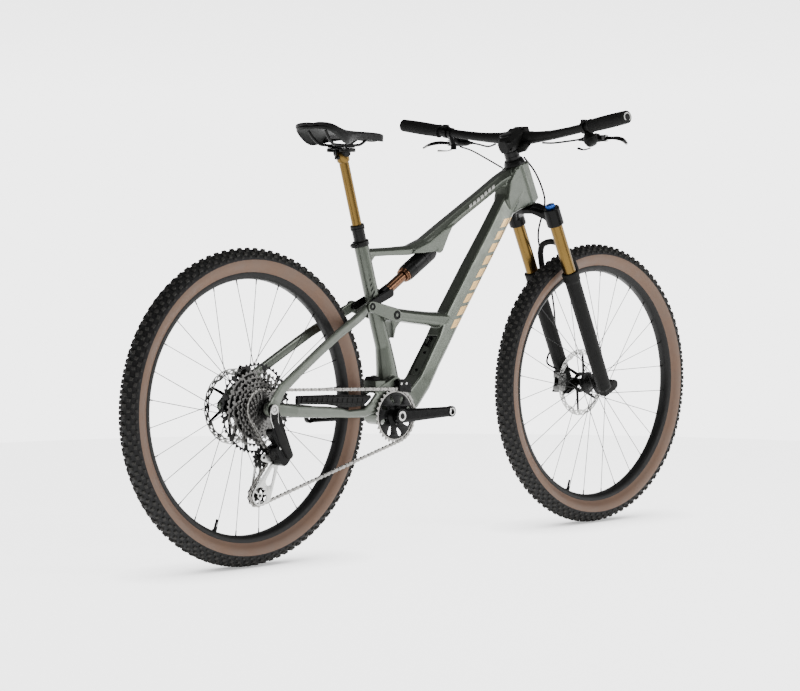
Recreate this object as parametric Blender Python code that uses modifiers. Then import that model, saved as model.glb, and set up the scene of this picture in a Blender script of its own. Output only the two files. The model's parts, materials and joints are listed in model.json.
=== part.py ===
"""A full-suspension mountain bike with 29 inch wheels, as separate parts in metres.

The origin is on the ground, midway between the wheels' contact points. +X is forward, +Y is the
rider's left and +Z is up. Side-view places are (x, z) pairs, and the drive side is -Y.
"""

import math

import bmesh
import bpy
from mathutils import Matrix, Vector

# Wheels
WHEELBASE = 1.238
TYRE_R = 0.372
RIM_INNER_R = 0.2988
RIM_OUTER_R = 0.3130
SPOKE_COUNT = 28
SPOKE_R = 0.0009
SPOKE_CROSSINGS = 3
ROTOR_R = 0.090
AXLE_HOLE_R = 0.0062
AXLE_R = 0.0058
FRONT_AXLE_R = 0.0073
ROUND = 40  # sides of the largest turned parts

# Places in the side view
REAR_AXLE = (-WHEELBASE / 2, TYRE_R)
FRONT_AXLE = (WHEELBASE / 2, TYRE_R)
BOTTOM_BRACKET = (-0.1795, 0.3315)
MAIN_PIVOT = (-0.1659, 0.4092)
ROCKER_PIVOT = (-0.1628, 0.5759)
ROCKER_REAR = (-0.2464, 0.5983)
SHOCK_TOP = (0.0100, 0.7405)
SHOCK_ANGLE = math.radians(32.0)
GAP = 0.0003  # between parts that touch

# Seat tube axis: a point at the tube's top, and the direction up it
SEAT_TOP = (-0.2454, 0.7424)
SEAT_ANGLE = math.radians(73.8)
SEAT_TUBE_R = 0.0178
DROPPER_OUTER_R = 0.0155
DROPPER_INNER_R = 0.0122

# Steering axis: a point level with the fork's foot, and the direction up it
STEER_FOOT = (0.57896, 0.35375)
HEAD_ANGLE = math.radians(65.5)
HEAD_LOW = 0.5460
HEAD_HIGH = 0.6575
FORK_OFFSET = 0.044
LEG_AHEAD = 0.0140  # the legs' axes are this far ahead of the steering axis
LEG_Y = 0.0655
STANCHION_R = 0.0165
CROWN_LOW = 0.4780
CROWN_HIGH = 0.5270
SEAL_HIGH = 0.3400

# Drive
CRANK_LENGTH = 0.170
CRANK_ANGLE = math.radians(0.8)
CHAIN_Y = -0.0495
CHAIN_HALF_HEIGHT = 0.0025
CHAIN_HALF_WIDTH = 0.0026
TOOTH_CLEAR = 0.0035  # from the pitch line in to a sprocket's edge
RING_TEETH = 32
COG_TEETH = 21
PULLEY_TEETH = 12
CHAIN_PITCH = 0.0127
GUIDE_PULLEY = (-0.6200, 0.2585)
TENSION_PULLEY = (-0.6320, 0.1711)
CAGE_PIVOT = (-0.5810, 0.2480)
KNUCKLE = (-0.5710, 0.2640)

LOOKS = {
    "frame_paint": ((0.20, 0.22, 0.19), 0.35, 0.4),
    "black_paint": ((0.03, 0.03, 0.03), 0.4, 0.0),
    "black_alloy": ((0.03, 0.03, 0.03), 0.35, 0.8),
    "silver_alloy": ((0.6, 0.6, 0.6), 0.3, 1.0),
    "dark_steel": ((0.15, 0.15, 0.15), 0.35, 1.0),
    "gold_coat": ((0.45, 0.32, 0.13), 0.25, 1.0),
    "bronze": ((0.22, 0.12, 0.06), 0.3, 1.0),
    "rubber": ((0.02, 0.02, 0.02), 0.8, 0.0),
    "blue": ((0.05, 0.15, 0.4), 0.4, 0.3),
    "saddle_cover": ((0.02, 0.02, 0.02), 0.5, 0.0),
}


# ---------------------------------------------------------------- places


def side(point, y=0.0):
    """A side-view place as a 3-D point."""
    return Vector((point[0], y, point[1]))


def steer(ahead, up, y=0.0):
    """The point that lies so far ahead of the steering axis and so far up it."""
    along = Vector((-math.cos(HEAD_ANGLE), 0, math.sin(HEAD_ANGLE)))
    forward = Vector((math.sin(HEAD_ANGLE), 0, math.cos(HEAD_ANGLE)))
    return side(STEER_FOOT, y) + forward * ahead + along * up


def seat(up, ahead=0.0, y=0.0):
    """The point so far up the seat tube's axis from its top, and so far ahead of it."""
    along = Vector((-math.cos(SEAT_ANGLE), 0, math.sin(SEAT_ANGLE)))
    forward = Vector((math.sin(SEAT_ANGLE), 0, math.cos(SEAT_ANGLE)))
    return side(SEAT_TOP, y) + along * up + forward * ahead


def shock(down, above=0.0, y=0.0):
    """The point so far down the shock from its upper bolt, and so far above its axis."""
    along = Vector((-math.cos(SHOCK_ANGLE), 0, -math.sin(SHOCK_ANGLE)))
    above_axis = Vector((-math.sin(SHOCK_ANGLE), 0, math.cos(SHOCK_ANGLE)))
    return side(SHOCK_TOP, y) + along * down + above_axis * above


def pitch_radius(teeth):
    return CHAIN_PITCH / (2 * math.sin(math.pi / teeth))


# ---------------------------------------------------------------- scene and objects


def clear_scene():
    for obj in list(bpy.data.objects):
        bpy.data.objects.remove(obj, do_unlink=True)


def new_collection(name):
    collection = bpy.data.collections.new(name)
    bpy.context.scene.collection.children.link(collection)
    return collection


def new_material(name, look):
    colour, roughness, metallic = LOOKS[look]
    material = bpy.data.materials.new(name)
    material.use_nodes = True
    shader = material.node_tree.nodes["Principled BSDF"]
    shader.inputs["Base Color"].default_value = (*colour, 1)
    shader.inputs["Roughness"].default_value = roughness
    shader.inputs["Metallic"].default_value = metallic
    return material


def add_object(name, mesh, look=None):
    """A part when it has a look, and otherwise a helper solid that a Boolean uses."""
    obj = bpy.data.objects.new(name, mesh)
    if look:
        PARTS.objects.link(obj)
        mesh.materials.append(new_material(name, look))
    else:
        CUTTERS.objects.link(obj)
        obj.hide_render = True
        obj.display_type = "WIRE"
    return obj


def mesh_object(name, bm, look=None):
    mesh = bpy.data.meshes.new(name)
    bmesh.ops.recalc_face_normals(bm, faces=bm.faces)
    bm.to_mesh(mesh)
    bm.free()
    mesh.shade_smooth()
    mesh.set_sharp_from_angle(angle=math.radians(35))
    return add_object(name, mesh, look)


def boolean(obj, others, operation):
    for other in others:
        modifier = obj.modifiers.new(other.name, "BOOLEAN")
        modifier.operation = operation
        modifier.solver = "EXACT"
        modifier.object = other
    return obj


def join(obj, *others):
    return boolean(obj, others, "UNION")


def cut(obj, *others):
    return boolean(obj, others, "DIFFERENCE")


def mirror_across(obj):
    """Keeps the half at -Y and makes the other half from it."""
    modifier = obj.modifiers.new("mirror", "MIRROR")
    modifier.use_axis = (False, True, False)
    modifier.use_bisect_axis = (False, True, False)
    modifier.use_bisect_flip_axis = (False, True, False)
    modifier.merge_threshold = 0.00005
    return obj


# ---------------------------------------------------------------- shapes


def rod(name, start, end, radius, look=None, end_radius=None, sides=14):
    """A round bar or cone between two points."""
    start, end = Vector(start), Vector(end)
    axis = end - start
    turn = axis.to_track_quat("Z", "Y").to_matrix().to_4x4()
    bm = bmesh.new()
    bmesh.ops.create_cone(
        bm,
        cap_ends=True,
        segments=sides,
        radius1=radius,
        radius2=radius if end_radius is None else end_radius,
        depth=axis.length,
        matrix=Matrix.Translation((start + end) / 2) @ turn,
    )
    return mesh_object(name, bm, look)


def cross_rod(name, place, y_low, y_high, radius, look=None, sides=16):
    return rod(name, side(place, y_low), side(place, y_high), radius, look, sides=sides)


def block(name, low, high, look=None, bevel=0.0, place=None):
    """A box between two corners, moved by an optional matrix."""
    low, high = Vector(low), Vector(high)
    size = high - low
    matrix = Matrix.Translation((low + high) / 2) @ Matrix.Diagonal((*size, 1))
    bm = bmesh.new()
    bmesh.ops.create_cube(bm, size=1, matrix=(place or Matrix()) @ matrix)
    obj = mesh_object(name, bm, look)
    if bevel:
        add_bevel(obj, bevel)
    return obj


def add_bevel(obj, width, segments=1):
    modifier = obj.modifiers.new("bevel", "BEVEL")
    modifier.width = width
    modifier.segments = segments
    modifier.limit_method = "ANGLE"
    return obj


def loop_area(loop):
    """The loop's area, which is positive when it runs anticlockwise."""
    pairs = zip(loop, [*loop[1:], loop[0]])
    return sum(a[0] * b[1] - b[0] * a[1] for a, b in pairs) / 2


def turned(name, profile, centre, axis=(0, 1, 0), look=None, steps=24, closed=False):
    """A profile of (radius, distance along the axis) turned round the axis."""
    if loop_area(profile) > 0:
        profile = profile[::-1]
    mesh = bpy.data.meshes.new(name)
    points = [(radius, 0, along) for radius, along in profile]
    edges = [(i, i + 1) for i in range(len(points) - 1)]
    if closed:
        edges.append((len(points) - 1, 0))
    mesh.from_pydata(points, edges, [])
    obj = add_object(name, mesh, look)
    obj.matrix_world = Matrix.Translation(centre) @ (
        Vector(axis).to_track_quat("Z", "Y").to_matrix().to_4x4()
    )
    screw = obj.modifiers.new("turn", "SCREW")
    screw.steps = screw.render_steps = steps
    screw.use_merge_vertices = True
    screw.merge_threshold = 0.00005
    screw.use_smooth_shade = True
    return obj


def sleeve(name, start, end, outer, inner, look=None, sides=16):
    """A straight tube with an open bore."""
    start, end = Vector(start), Vector(end)
    length = (end - start).length
    profile = [(outer, length), (outer, 0), (inner, 0), (inner, length)]
    return turned(name, profile, start, end - start, look, sides, closed=True)


def arc_between(centre, radius, start, end, turn, step):
    """Points on a circle from one angle to another, clockwise when turn is 1."""
    sweep = (turn * (start - end)) % (2 * math.pi)
    count = max(1, round(sweep / step))
    angles = [start - turn * sweep * i / count for i in range(count + 1)]
    return [(centre[0] + radius * math.cos(a), centre[1] + radius * math.sin(a)) for a in angles]


def belt_path(circles, step=math.radians(30)):
    """The closed line round circles of (centre, radius, turn), as a tight belt runs."""
    headings = []
    for i, (centre, radius, turn) in enumerate(circles):
        next_centre, next_radius, next_turn = circles[(i + 1) % len(circles)]
        dx, dz = next_centre[0] - centre[0], next_centre[1] - centre[1]
        across = radius * turn - next_radius * next_turn
        ahead = math.sqrt(dx * dx + dz * dz - across * across)
        headings.append(math.atan2(dz, dx) - math.atan2(across, ahead))
    points = []
    for i, (centre, radius, turn) in enumerate(circles):
        side_angle = turn * math.pi / 2
        start = headings[i - 1] + side_angle
        end = headings[i] + side_angle
        points += arc_between(centre, radius, start, end, turn, step)
    return points


def hull(*circles, step=math.radians(45)):
    """The outline round circles of (centre, radius), which are listed clockwise."""
    return belt_path([(centre, radius, 1) for centre, radius in circles], step)


def plate(name, outline, y_low, y_high, look=None, holes=()):
    """A flat side-view outline with its thickness along Y."""
    curve = bpy.data.curves.new(name, "CURVE")
    curve.dimensions = "2D"
    curve.fill_mode = "BOTH"
    curve.extrude = (y_high - y_low) / 2
    for loop in (outline, *holes):
        spline = curve.splines.new("POLY")
        spline.points.add(len(loop) - 1)
        for point, (x, z) in zip(spline.points, loop):
            point.co = (x, z, 0, 1)
        spline.use_cyclic_u = True
    place = Matrix.Translation((0, (y_low + y_high) / 2, 0)) @ Matrix.Rotation(
        math.radians(90), 4, "X"
    )
    return curve_mesh(name, curve, place, look)


def curve_mesh(name, curve, place, look):
    """Turns a curve into a mesh whose caps are welded."""
    guide = bpy.data.objects.new(name + "_guide", curve)
    CUTTERS.objects.link(guide)
    guide.matrix_world = place
    bpy.context.view_layer.update()
    graph = bpy.context.evaluated_depsgraph_get()
    mesh = bpy.data.meshes.new_from_object(guide.evaluated_get(graph))
    bpy.data.objects.remove(guide, do_unlink=True)
    mesh.name = name
    mesh.transform(place)
    bm = bmesh.new()
    bm.from_mesh(mesh)
    bpy.data.meshes.remove(mesh)
    bmesh.ops.remove_doubles(bm, verts=bm.verts, dist=0.00001)
    return mesh_object(name, bm, look)


def smooth_route(points, per_span=3):
    """More points on the smooth line through a route's own points."""
    points = [Vector(p) for p in points]
    padded = [2 * points[0] - points[1], *points, 2 * points[-1] - points[-2]]
    route = []
    for a, b, c, d in zip(padded, padded[1:], padded[2:], padded[3:]):
        for i in range(per_span):
            t = i / per_span
            bend = (2 * a - 5 * b + 4 * c - d) * t * t + (3 * b - a - 3 * c + d) * t**3
            route.append((2 * b + (c - a) * t + bend) / 2)
    return [*route, points[-1]]


def tube(name, points, radius, look=None, radii=None, resolution=2):
    """A round tube along a line of points, with filled ends."""
    curve = bpy.data.curves.new(name, "CURVE")
    curve.dimensions = "3D"
    curve.bevel_depth = radius
    curve.bevel_resolution = resolution
    curve.use_fill_caps = True
    spline = curve.splines.new("POLY")
    spline.points.add(len(points) - 1)
    for i, (point, place) in enumerate(zip(spline.points, points)):
        point.co = (*place, 1)
        point.radius = radii[i] / radius if radii else 1.0
    return curve_mesh(name, curve, Matrix(), look)


def ring_points(centre, along, half_width, half_height, squareness, sides):
    """A section across a tube, where squareness 1 is an ellipse."""
    across = (Vector((0, 1, 0)) - along * along.y).normalized()
    above = across.cross(along)
    if above.z < 0 or (abs(above.z) < 0.5 and above.x < 0):
        above.negate()
    points = []
    for k in range(sides):
        angle = 2 * math.pi * (k + 0.5) / sides
        u = math.copysign(abs(math.cos(angle)) ** squareness, math.cos(angle))
        v = math.copysign(abs(math.sin(angle)) ** squareness, math.sin(angle))
        points.append(centre + across * (u * half_width) + above * (v * half_height))
    return points


def loft(name, stations, look=None, sides=12, squareness=0.6):
    """A tube through (centre, half width, half height) stations, closed at both ends."""
    bm = bmesh.new()
    centres = [Vector(s[0]) for s in stations]
    rings = []
    for i, (centre, half_width, half_height) in enumerate(stations):
        along = centres[min(i + 1, len(centres) - 1)] - centres[max(i - 1, 0)]
        section = ring_points(
            centre, along.normalized(), half_width, half_height, squareness, sides
        )
        rings.append([bm.verts.new(p) for p in section])
    for first, second in zip(rings, rings[1:]):
        for k in range(sides):
            n = (k + 1) % sides
            bm.faces.new((first[k], first[n], second[n], second[k]))
    bm.faces.new(rings[0])
    bm.faces.new(rings[-1])
    return mesh_object(name, bm, look)


def toothed_outline(teeth, root, tip, centre):
    """A sprocket's outline, with a root and a tip for each tooth."""
    step = 2 * math.pi / teeth
    outline = []
    for k in range(teeth):
        for share, radius in ((0.0, root), (0.5, tip)):
            angle = (k + share) * step
            x = centre[0] + radius * math.cos(angle)
            outline.append((x, centre[1] + radius * math.sin(angle)))
    return outline


def circle_outline(centre, radius, count=12):
    angles = [2 * math.pi * k / count for k in range(count)]
    return [(centre[0] + radius * math.cos(a), centre[1] + radius * math.sin(a)) for a in angles]


# ---------------------------------------------------------------- frame


def down_tube():
    """Stations of (centre, rear half width, front half width, half depth)."""
    stations = [
        (side((0.3000, 0.8950)), 0.0170, 0.0250, 0.0250),
        (side((0.2632, 0.8450)), 0.0172, 0.0262, 0.0232),
        (side((0.2124, 0.7744)), 0.0186, 0.0265, 0.0230),
        (side((0.1392, 0.6776)), 0.0196, 0.0270, 0.0240),
        (side((0.0558, 0.5651)), 0.0205, 0.0275, 0.0240),
        (side((0.0190, 0.5078)), 0.0238, 0.0290, 0.0205),
        (side((-0.0195, 0.4546)), 0.0252, 0.0300, 0.0200),
        (side((-0.0520, 0.4060)), 0.0262, 0.0300, 0.0215),
        (side((-0.0900, 0.3690)), 0.0270, 0.0300, 0.0250),
        (side((-0.1350, 0.3480)), 0.0280, 0.0310, 0.0270),
        (side((-0.1750, 0.3350)), 0.0290, 0.0320, 0.0230),
    ]
    sections = []
    for centre, rear, front, deep in stations:
        half = [
            (rear - 0.0035, deep),
            (rear, deep - 0.0030),
            (front + 0.0018, 0.0080 - deep),
            (front - 0.0055, -deep - 0.0030),
        ]
        sections.append((centre, half))
    return faceted_tube("down_tube", sections)


def top_tube():
    """Stations of (centre, ridge half width, half depth). The ridge runs along each side."""
    stations = [
        (side((0.3060, 0.9245)), 0.0230, 0.0200),
        (side((0.2700, 0.9190)), 0.0225, 0.0165),
        (side((0.2382, 0.9062)), 0.0215, 0.0135),
        (side((0.1638, 0.8636)), 0.0210, 0.0128),
        (side((0.0903, 0.8222)), 0.0210, 0.0128),
        (side((0.0185, 0.7799)), 0.0225, 0.0138),
        (side((-0.0350, 0.7470)), 0.0225, 0.0155),
        (side((-0.0900, 0.7330)), 0.0170, 0.0118),
        (side((-0.1600, 0.7305)), 0.0145, 0.0100),
        (side((-0.2350, 0.7280)), 0.0150, 0.0105),
    ]
    sections = []
    for centre, wide, deep in stations:
        half = [(wide * 0.50, deep), (wide, deep * 0.15), (wide * 0.66, -deep)]
        sections.append((centre, half))
    return faceted_tube("top_tube", sections)


def faceted_tube(name, sections):
    """A loft through (centre, half section) pairs, where a half section lists (y, height) points."""
    bm = bmesh.new()
    centres = [centre for centre, _ in sections]
    rings = []
    for i, (centre, half) in enumerate(sections):
        along = centres[min(i + 1, len(centres) - 1)] - centres[max(i - 1, 0)]
        up = Vector((along.z, 0, -along.x)).normalized()
        ring = [bm.verts.new(centre + up * v + Vector((0, y, 0))) for y, v in half]
        ring += [bm.verts.new(centre + up * v - Vector((0, y, 0))) for y, v in reversed(half)]
        rings.append(ring)
    count = len(rings[0])
    for first, second in zip(rings, rings[1:]):
        for k in range(count):
            n = (k + 1) % count
            bm.faces.new((first[k], first[n], second[n], second[k]))
    bm.faces.new(rings[0])
    bm.faces.new(rings[-1])
    return mesh_object(name, bm)


def head_plate():
    """The flat-sided box that the two tubes and the head tube grow out of."""
    corners = [steer(0.0262, 0.5480), steer(0.0262, 0.6560), steer(-0.0262, 0.6560)]
    outline = [(corner.x, corner.z) for corner in corners]
    outline += [(0.2600, 0.9060), (0.2570, 0.8840), (0.2520, 0.8600), (0.2640, 0.8180), (0.3000, 0.8330)]
    corner = steer(-0.0240, 0.5480)
    outline.append((corner.x, corner.z))
    return add_bevel(plate("head_plate", outline, -0.0262, 0.0262), 0.0040)


def corner_webs():
    """Webs that fill the corners where the strut and the bridge leave the seat tube."""
    strut_points = [(-0.2300, 0.7260), (-0.2030, 0.7260), (-0.2240, 0.7030)]
    bridge_points = [(-0.1560, 0.5660), (-0.1200, 0.5620), (-0.1400, 0.5430), (-0.1480, 0.5180)]
    strut = plate("strut_web", strut_points, -0.0120, 0.0120)
    return [strut, plate("bridge_web", bridge_points, -0.0150, 0.0150)]


def seat_tube():
    stations = [
        (seat(0.0150), SEAT_TUBE_R, SEAT_TUBE_R),
        (seat(-0.130), 0.0183, 0.0183),
        (seat(-0.190), 0.0188, 0.0192),
        (side((-0.1716, 0.5000)), 0.0195, 0.0215),
        (side((-0.1618, 0.4500)), 0.0235, 0.0270),
        (side((-0.1560, 0.4100)), 0.0265, 0.0320),
        (side((-0.1530, 0.3600)), 0.0280, 0.0340),
    ]
    return loft("seat_tube", stations, sides=14, squareness=1.0)


def frame_bridge():
    stations = [
        (side((-0.1980, 0.5830)), 0.0180, 0.0150),
        (side((-0.1440, 0.5764)), 0.0230, 0.0168),
        (side((-0.0850, 0.5690)), 0.0220, 0.0170),
        (side((-0.0230, 0.5625)), 0.0220, 0.0175),
        (side((0.0450, 0.5560)), 0.0240, 0.0210),
    ]
    return loft("bridge", stations, sides=10, squareness=0.7)


def shock_gusset():
    """The deep box under the top tube's kink, which holds the shock's upper eye."""
    outline = [
        (-0.0860, 0.7255),
        (0.0100, 0.7255),
        (0.0175, 0.7290),
        (0.0400, 0.7700),
        (0.0600, 0.8000),
        (0.0200, 0.7850),
        (-0.0350, 0.7540),
        (-0.0860, 0.7350),
    ]
    return add_bevel(plate("shock_gusset", outline, -0.0240, 0.0240), 0.0035)


def shock_room():
    """The hollow in the gusset for the shock's head, at rest and at full travel."""
    eye = block("eye_room", (-0.0200, -0.0136, 0.7000), (0.0600, 0.0136, 0.7530))
    low, high = shock(0.0160), shock(0.1000)
    swung_low, swung_high = shock(0.0115, above=0.0022), shock(0.1000, above=0.0125)
    return [
        eye,
        rod("can_room", low, high, CAN_R + 0.0008, sides=16),
        rod("swung_can_room", swung_low, swung_high, CAN_R + 0.0008, sides=16),
    ]


def shock_bolt():
    return cross_rod("shock_bolt", SHOCK_TOP, -0.0170, 0.0170, 0.0040, sides=12)


def make_frame():
    frame = rod(
        "front_triangle", steer(0, HEAD_LOW), steer(0, HEAD_HIGH), 0.0278, "frame_paint", 0.0280, 20
    )
    pieces = [down_tube(), top_tube(), seat_tube(), frame_bridge(), shock_gusset(), head_plate()]
    pieces += corner_webs()
    pieces.append(cross_rod("shell", BOTTOM_BRACKET, -0.0365, 0.0365, 0.0260, sides=16))
    pieces.append(cross_rod("pivot_boss", MAIN_PIVOT, -0.0275, 0.0275, 0.0165, sides=14))
    pieces.append(cross_rod("rocker_boss", ROCKER_PIVOT, -0.0320, 0.0320, 0.0165, sides=14))
    join(frame, *pieces)
    cut(
        frame,
        rod("steerer_bore", steer(0, HEAD_LOW - 0.02), steer(0, HEAD_HIGH + 0.02), 0.0172),
        rod("seat_bore", seat(-0.2160), seat(0.03), DROPPER_OUTER_R + 0.0004, sides=16),
        cross_rod("shell_bore", BOTTOM_BRACKET, -0.05, 0.05, 0.0205, sides=16),
        cross_rod("pivot_bore", MAIN_PIVOT, -0.05, 0.05, 0.0078, sides=12),
        cross_rod("rocker_bore", ROCKER_PIVOT, -0.05, 0.05, 0.0078, sides=12),
        storage_opening(),
        *shock_room(),
    )
    join(frame, shock_bolt())


DOOR_LOW = (-0.0640, 0.4230)
DOOR_HIGH = (0.0020, 0.5180)
DOOR_THICK = 0.0060


def door_frame():
    """The matrix whose X runs up the down tube's rear face, and whose Z points out of it."""
    low, high = side(DOOR_LOW), side(DOOR_HIGH)
    along = (high - low).normalized()
    out = Vector((-along.z, 0, along.x))
    turn = Matrix((along, out.cross(along), out)).transposed().to_4x4()
    return Matrix.Translation(low) @ turn


def door_length():
    return (side(DOOR_HIGH) - side(DOOR_LOW)).length


def storage_opening():
    """The pocket that the door closes. The door's outer face stands level with the tube."""
    inner = Vector((-GAP, -0.0170 - GAP, -0.0120))
    outer = Vector((door_length() + GAP, 0.0170 + GAP, 0.0300))
    return block("storage_opening", inner, outer, place=door_frame())


def make_door():
    length = door_length()
    place = door_frame()
    block(
        "storage_door",
        (0, -0.0170, -DOOR_THICK),
        (length, 0.0170, 0),
        "frame_paint",
        bevel=0.0015,
        place=place,
    )
    lever = block(
        "door_latch",
        (length - 0.030, -0.0050, GAP),
        (length - 0.004, 0.0050, 0.0055),
        "black_alloy",
        place=place,
    )
    low, high = (length - 0.034, -0.0050, 0.0040), (length - 0.027, 0.0050, 0.0130)
    grip = block("latch_grip", low, high, place=place)
    join(lever, grip)


def make_frame_fittings():
    sleeve("seat_clamp", seat(0.0030), seat(0.0155), 0.0206, SEAT_TUBE_R + 0.0006, "black_alloy")
    inner = DROPPER_INNER_R + 0.0005
    length, collar_start = 0.2720, 0.2575
    profile = [(DROPPER_OUTER_R, 0.0), (DROPPER_OUTER_R, collar_start)]
    profile += [(0.0176, collar_start), (0.0176, length), (inner, length), (inner, 0.0)]
    up = seat(1) - seat(0)
    turned("dropper_outer", profile, seat(-0.2140), up, "black_alloy", 20, closed=True)
    half = [(0.0148, 0.0415), (0.0220, 0.0415), (0.0220, 0.0370), (0.0200, 0.0370)]
    profile = [*half, *[(r, -y) for r, y in reversed(half)]]
    turned(
        "bottom_bracket", profile, side(BOTTOM_BRACKET), look="black_alloy", steps=20, closed=True
    )
    make_chain_guide()


def make_chain_guide():
    """A cap over the chain where it meets the ring, with a cheek on each side of the chain."""
    outline = [(-0.1720, 0.4040), (-0.1720, 0.4160), (-0.1540, 0.4200), (-0.1300, 0.4060)]
    outline += [(-0.1300, 0.3960), (-0.1420, 0.4020)]
    cheek = [(-0.1720, 0.3900), (-0.1720, 0.4160), (-0.1540, 0.4200), (-0.1300, 0.4060)]
    cheek += [(-0.1300, 0.3850)]
    guide = plate("chain_guide", outline, -0.0560, -0.0450, "black_paint")
    outer = plate("outer_cheek", cheek, -0.0565, -0.0545)
    return join(guide, outer)


# ---------------------------------------------------------------- rear suspension


def chainstay_half():
    stations = [
        (side((-0.1900, 0.4000), -0.0352), 0.0068, 0.0150),
        (side((-0.2180, 0.3800), -0.0360), 0.0070, 0.0170),
        (side((-0.2450, 0.3560), -0.0385), 0.0062, 0.0170),
        (side((-0.2800, 0.3430), -0.0425), 0.0060, 0.0110),
        (side((-0.3400, 0.3440), -0.0500), 0.0065, 0.0095),
        (side((-0.3700, 0.3490), -0.0540), 0.0068, 0.0125),
        (side((-0.4200, 0.3535), -0.0600), 0.0070, 0.0140),
        (side((-0.5300, 0.3615), -0.0740), 0.0062, 0.0148),
        (side((-0.5750, 0.3670), -0.0777), 0.0035, 0.0145),
        (side((-0.6190, 0.3720), -0.0777), 0.0034, 0.0130),
    ]
    stay = loft("chainstay", stations, "frame_paint", sides=10, squareness=0.7)
    lug = cross_rod("main_lug", MAIN_PIVOT, -0.0420, -0.0280, 0.0170, sides=16)
    web = plate("lug_web", hull((MAIN_PIVOT, 0.0165), ((-0.2150, 0.3900), 0.0150)), -0.0420, -0.0285)
    yoke = block("yoke_half", (-0.2370, -0.0400, 0.3880), (-0.2040, 0.0100, 0.4180))
    dropout = cross_rod("dropout", REAR_AXLE, -0.0812, -0.0742, 0.0165, sides=16)
    join(stay, lug, web, yoke, dropout)
    boss_room = cross_rod("boss_room", MAIN_PIVOT, -0.0279, 0.0279, 0.0180, sides=16)
    axle_hole = cross_rod("stay_axle_hole", REAR_AXLE, -0.1, 0.0, AXLE_HOLE_R, sides=12)
    cut(stay, boss_room, axle_hole)
    join(stay, cross_rod("main_pivot_axle", MAIN_PIVOT, -0.0430, 0.0100, 0.0075, sides=12))
    return mirror_across(stay)


def make_chainstay_guard():
    """A ribbed pad along the top of the drive-side stay, under the chain."""
    stations = [
        (side((-0.2560, 0.3815), -0.0405), 0.0040, 0.0042),
        (side((-0.2850, 0.3735), -0.0435), 0.0052, 0.0140),
        (side((-0.3500, 0.3755), -0.0512), 0.0055, 0.0165),
        (side((-0.4200, 0.3830), -0.0600), 0.0055, 0.0125),
        (side((-0.5300, 0.3885), -0.0735), 0.0050, 0.0105),
    ]
    return loft("chainstay_guard", stations, "rubber", sides=8, squareness=0.6)


def make_seatstay(name, sign):
    stations = [
        (side((-0.2620, 0.5925), sign * 0.0335), 0.0055, 0.0110),
        (side((-0.2850, 0.5790), sign * 0.0390), 0.0068, 0.0135),
        (side((-0.3150, 0.5640), sign * 0.0440), 0.0068, 0.0130),
        (side((-0.3700, 0.5373), sign * 0.0500), 0.0065, 0.0125),
        (side((-0.4400, 0.4978), sign * 0.0575), 0.0065, 0.0125),
        (side((-0.5110, 0.4560), sign * 0.0660), 0.0065, 0.0125),
        (side((-0.5780, 0.4165), sign * 0.0760), 0.0055, 0.0145),
        (side((-0.6060, 0.3890), sign * 0.0848), 0.0032, 0.0160),
        (side((-0.6150, 0.3780), sign * 0.0850), 0.0031, 0.0160),
    ]
    stay = loft(name, stations, "frame_paint", sides=10, squareness=0.75)
    near, far = sorted((sign * 0.0818, sign * 0.0882))
    ring = cross_rod(name + "_ring", REAR_AXLE, near, far, 0.0170, sides=16)
    near, far = sorted((sign * 0.0262, sign * 0.0325))
    outline = hull((ROCKER_REAR, 0.0130), ((-0.2760, 0.5850), 0.0120))
    lug = plate(name + "_lug", outline, near, far)
    join(stay, ring, lug)
    near, far = sorted((sign * 0.0328, sign * 0.0600))
    rocker_room = cross_rod(name + "_room", ROCKER_REAR, near, far, 0.0168, sides=16)
    near, far = sorted((sign * 0.0600, sign * 0.0815))
    dropout_room = cross_rod(name + "_dropout_room", REAR_AXLE, near, far, 0.0205, sides=16)
    near, far = sorted((sign * 0.0600, sign * 0.1000))
    hole = cross_rod(name + "_hole", REAR_AXLE, near, far, AXLE_HOLE_R, sides=12)
    return cut(stay, rocker_room, dropout_room, hole)


def make_rocker(name, sign):
    near, far = sorted((sign * 0.0331, sign * 0.0400))
    outline = hull((ROCKER_REAR, 0.0142), (ROCKER_PIVOT, 0.0168))
    return add_bevel(plate(name, outline, near, far, "frame_paint"), 0.0012)


def make_rear_suspension():
    chainstay_half()
    make_chainstay_guard()
    make_seatstay("seatstay_right", -1)
    make_seatstay("seatstay_left", 1)
    make_rocker("rocker_right", -1)
    axle = cross_rod("rocker_axle", ROCKER_PIVOT, -0.0328, 0.0360, 0.0075, sides=12)
    join(make_rocker("rocker_left", 1), axle)
    axle = cross_rod("rear_axle", REAR_AXLE, -0.0884, 0.0890, AXLE_R, "black_alloy", 12)
    join(axle, cross_rod("axle_head", REAR_AXLE, 0.0885, 0.0925, 0.0100, sides=12))
    make_caliper("rear_caliper", (-0.5745, 0.4385), 0.0480, math.radians(-34), "black_paint")


# ---------------------------------------------------------------- shock

CAN_R = 0.0213
CAN_END = 0.1345
SHAFT_R = 0.0130
SHAFT_START = 0.1180
YOKE_START = 0.1990


def make_shock():
    bore = SHAFT_R + 0.0004
    profile = [
        (0.0, 0.0180),
        (0.0150, 0.0180),
        (CAN_R, 0.0240),
        (CAN_R, CAN_END),
        (bore, CAN_END),
        (bore, 0.0480),
        (0.0, 0.0480),
    ]
    can = turned("shock_can", profile, shock(0), shock(1) - shock(0), "black_alloy", 20)
    neck = block("shock_neck", (-0.0240, -0.0110, -0.0085), (0.0, 0.0110, 0.0085), place=shock_place())
    join(can, neck, cross_rod("shock_eye", SHOCK_TOP, -0.0130, 0.0130, 0.0105, sides=16))
    cut(can, cross_rod("eye_hole", SHOCK_TOP, -0.03, 0.03, 0.0043, sides=12))
    rod("shock_shaft", shock(SHAFT_START), shock(YOKE_START - GAP), SHAFT_R, "bronze", sides=20)
    make_yoke()


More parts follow.
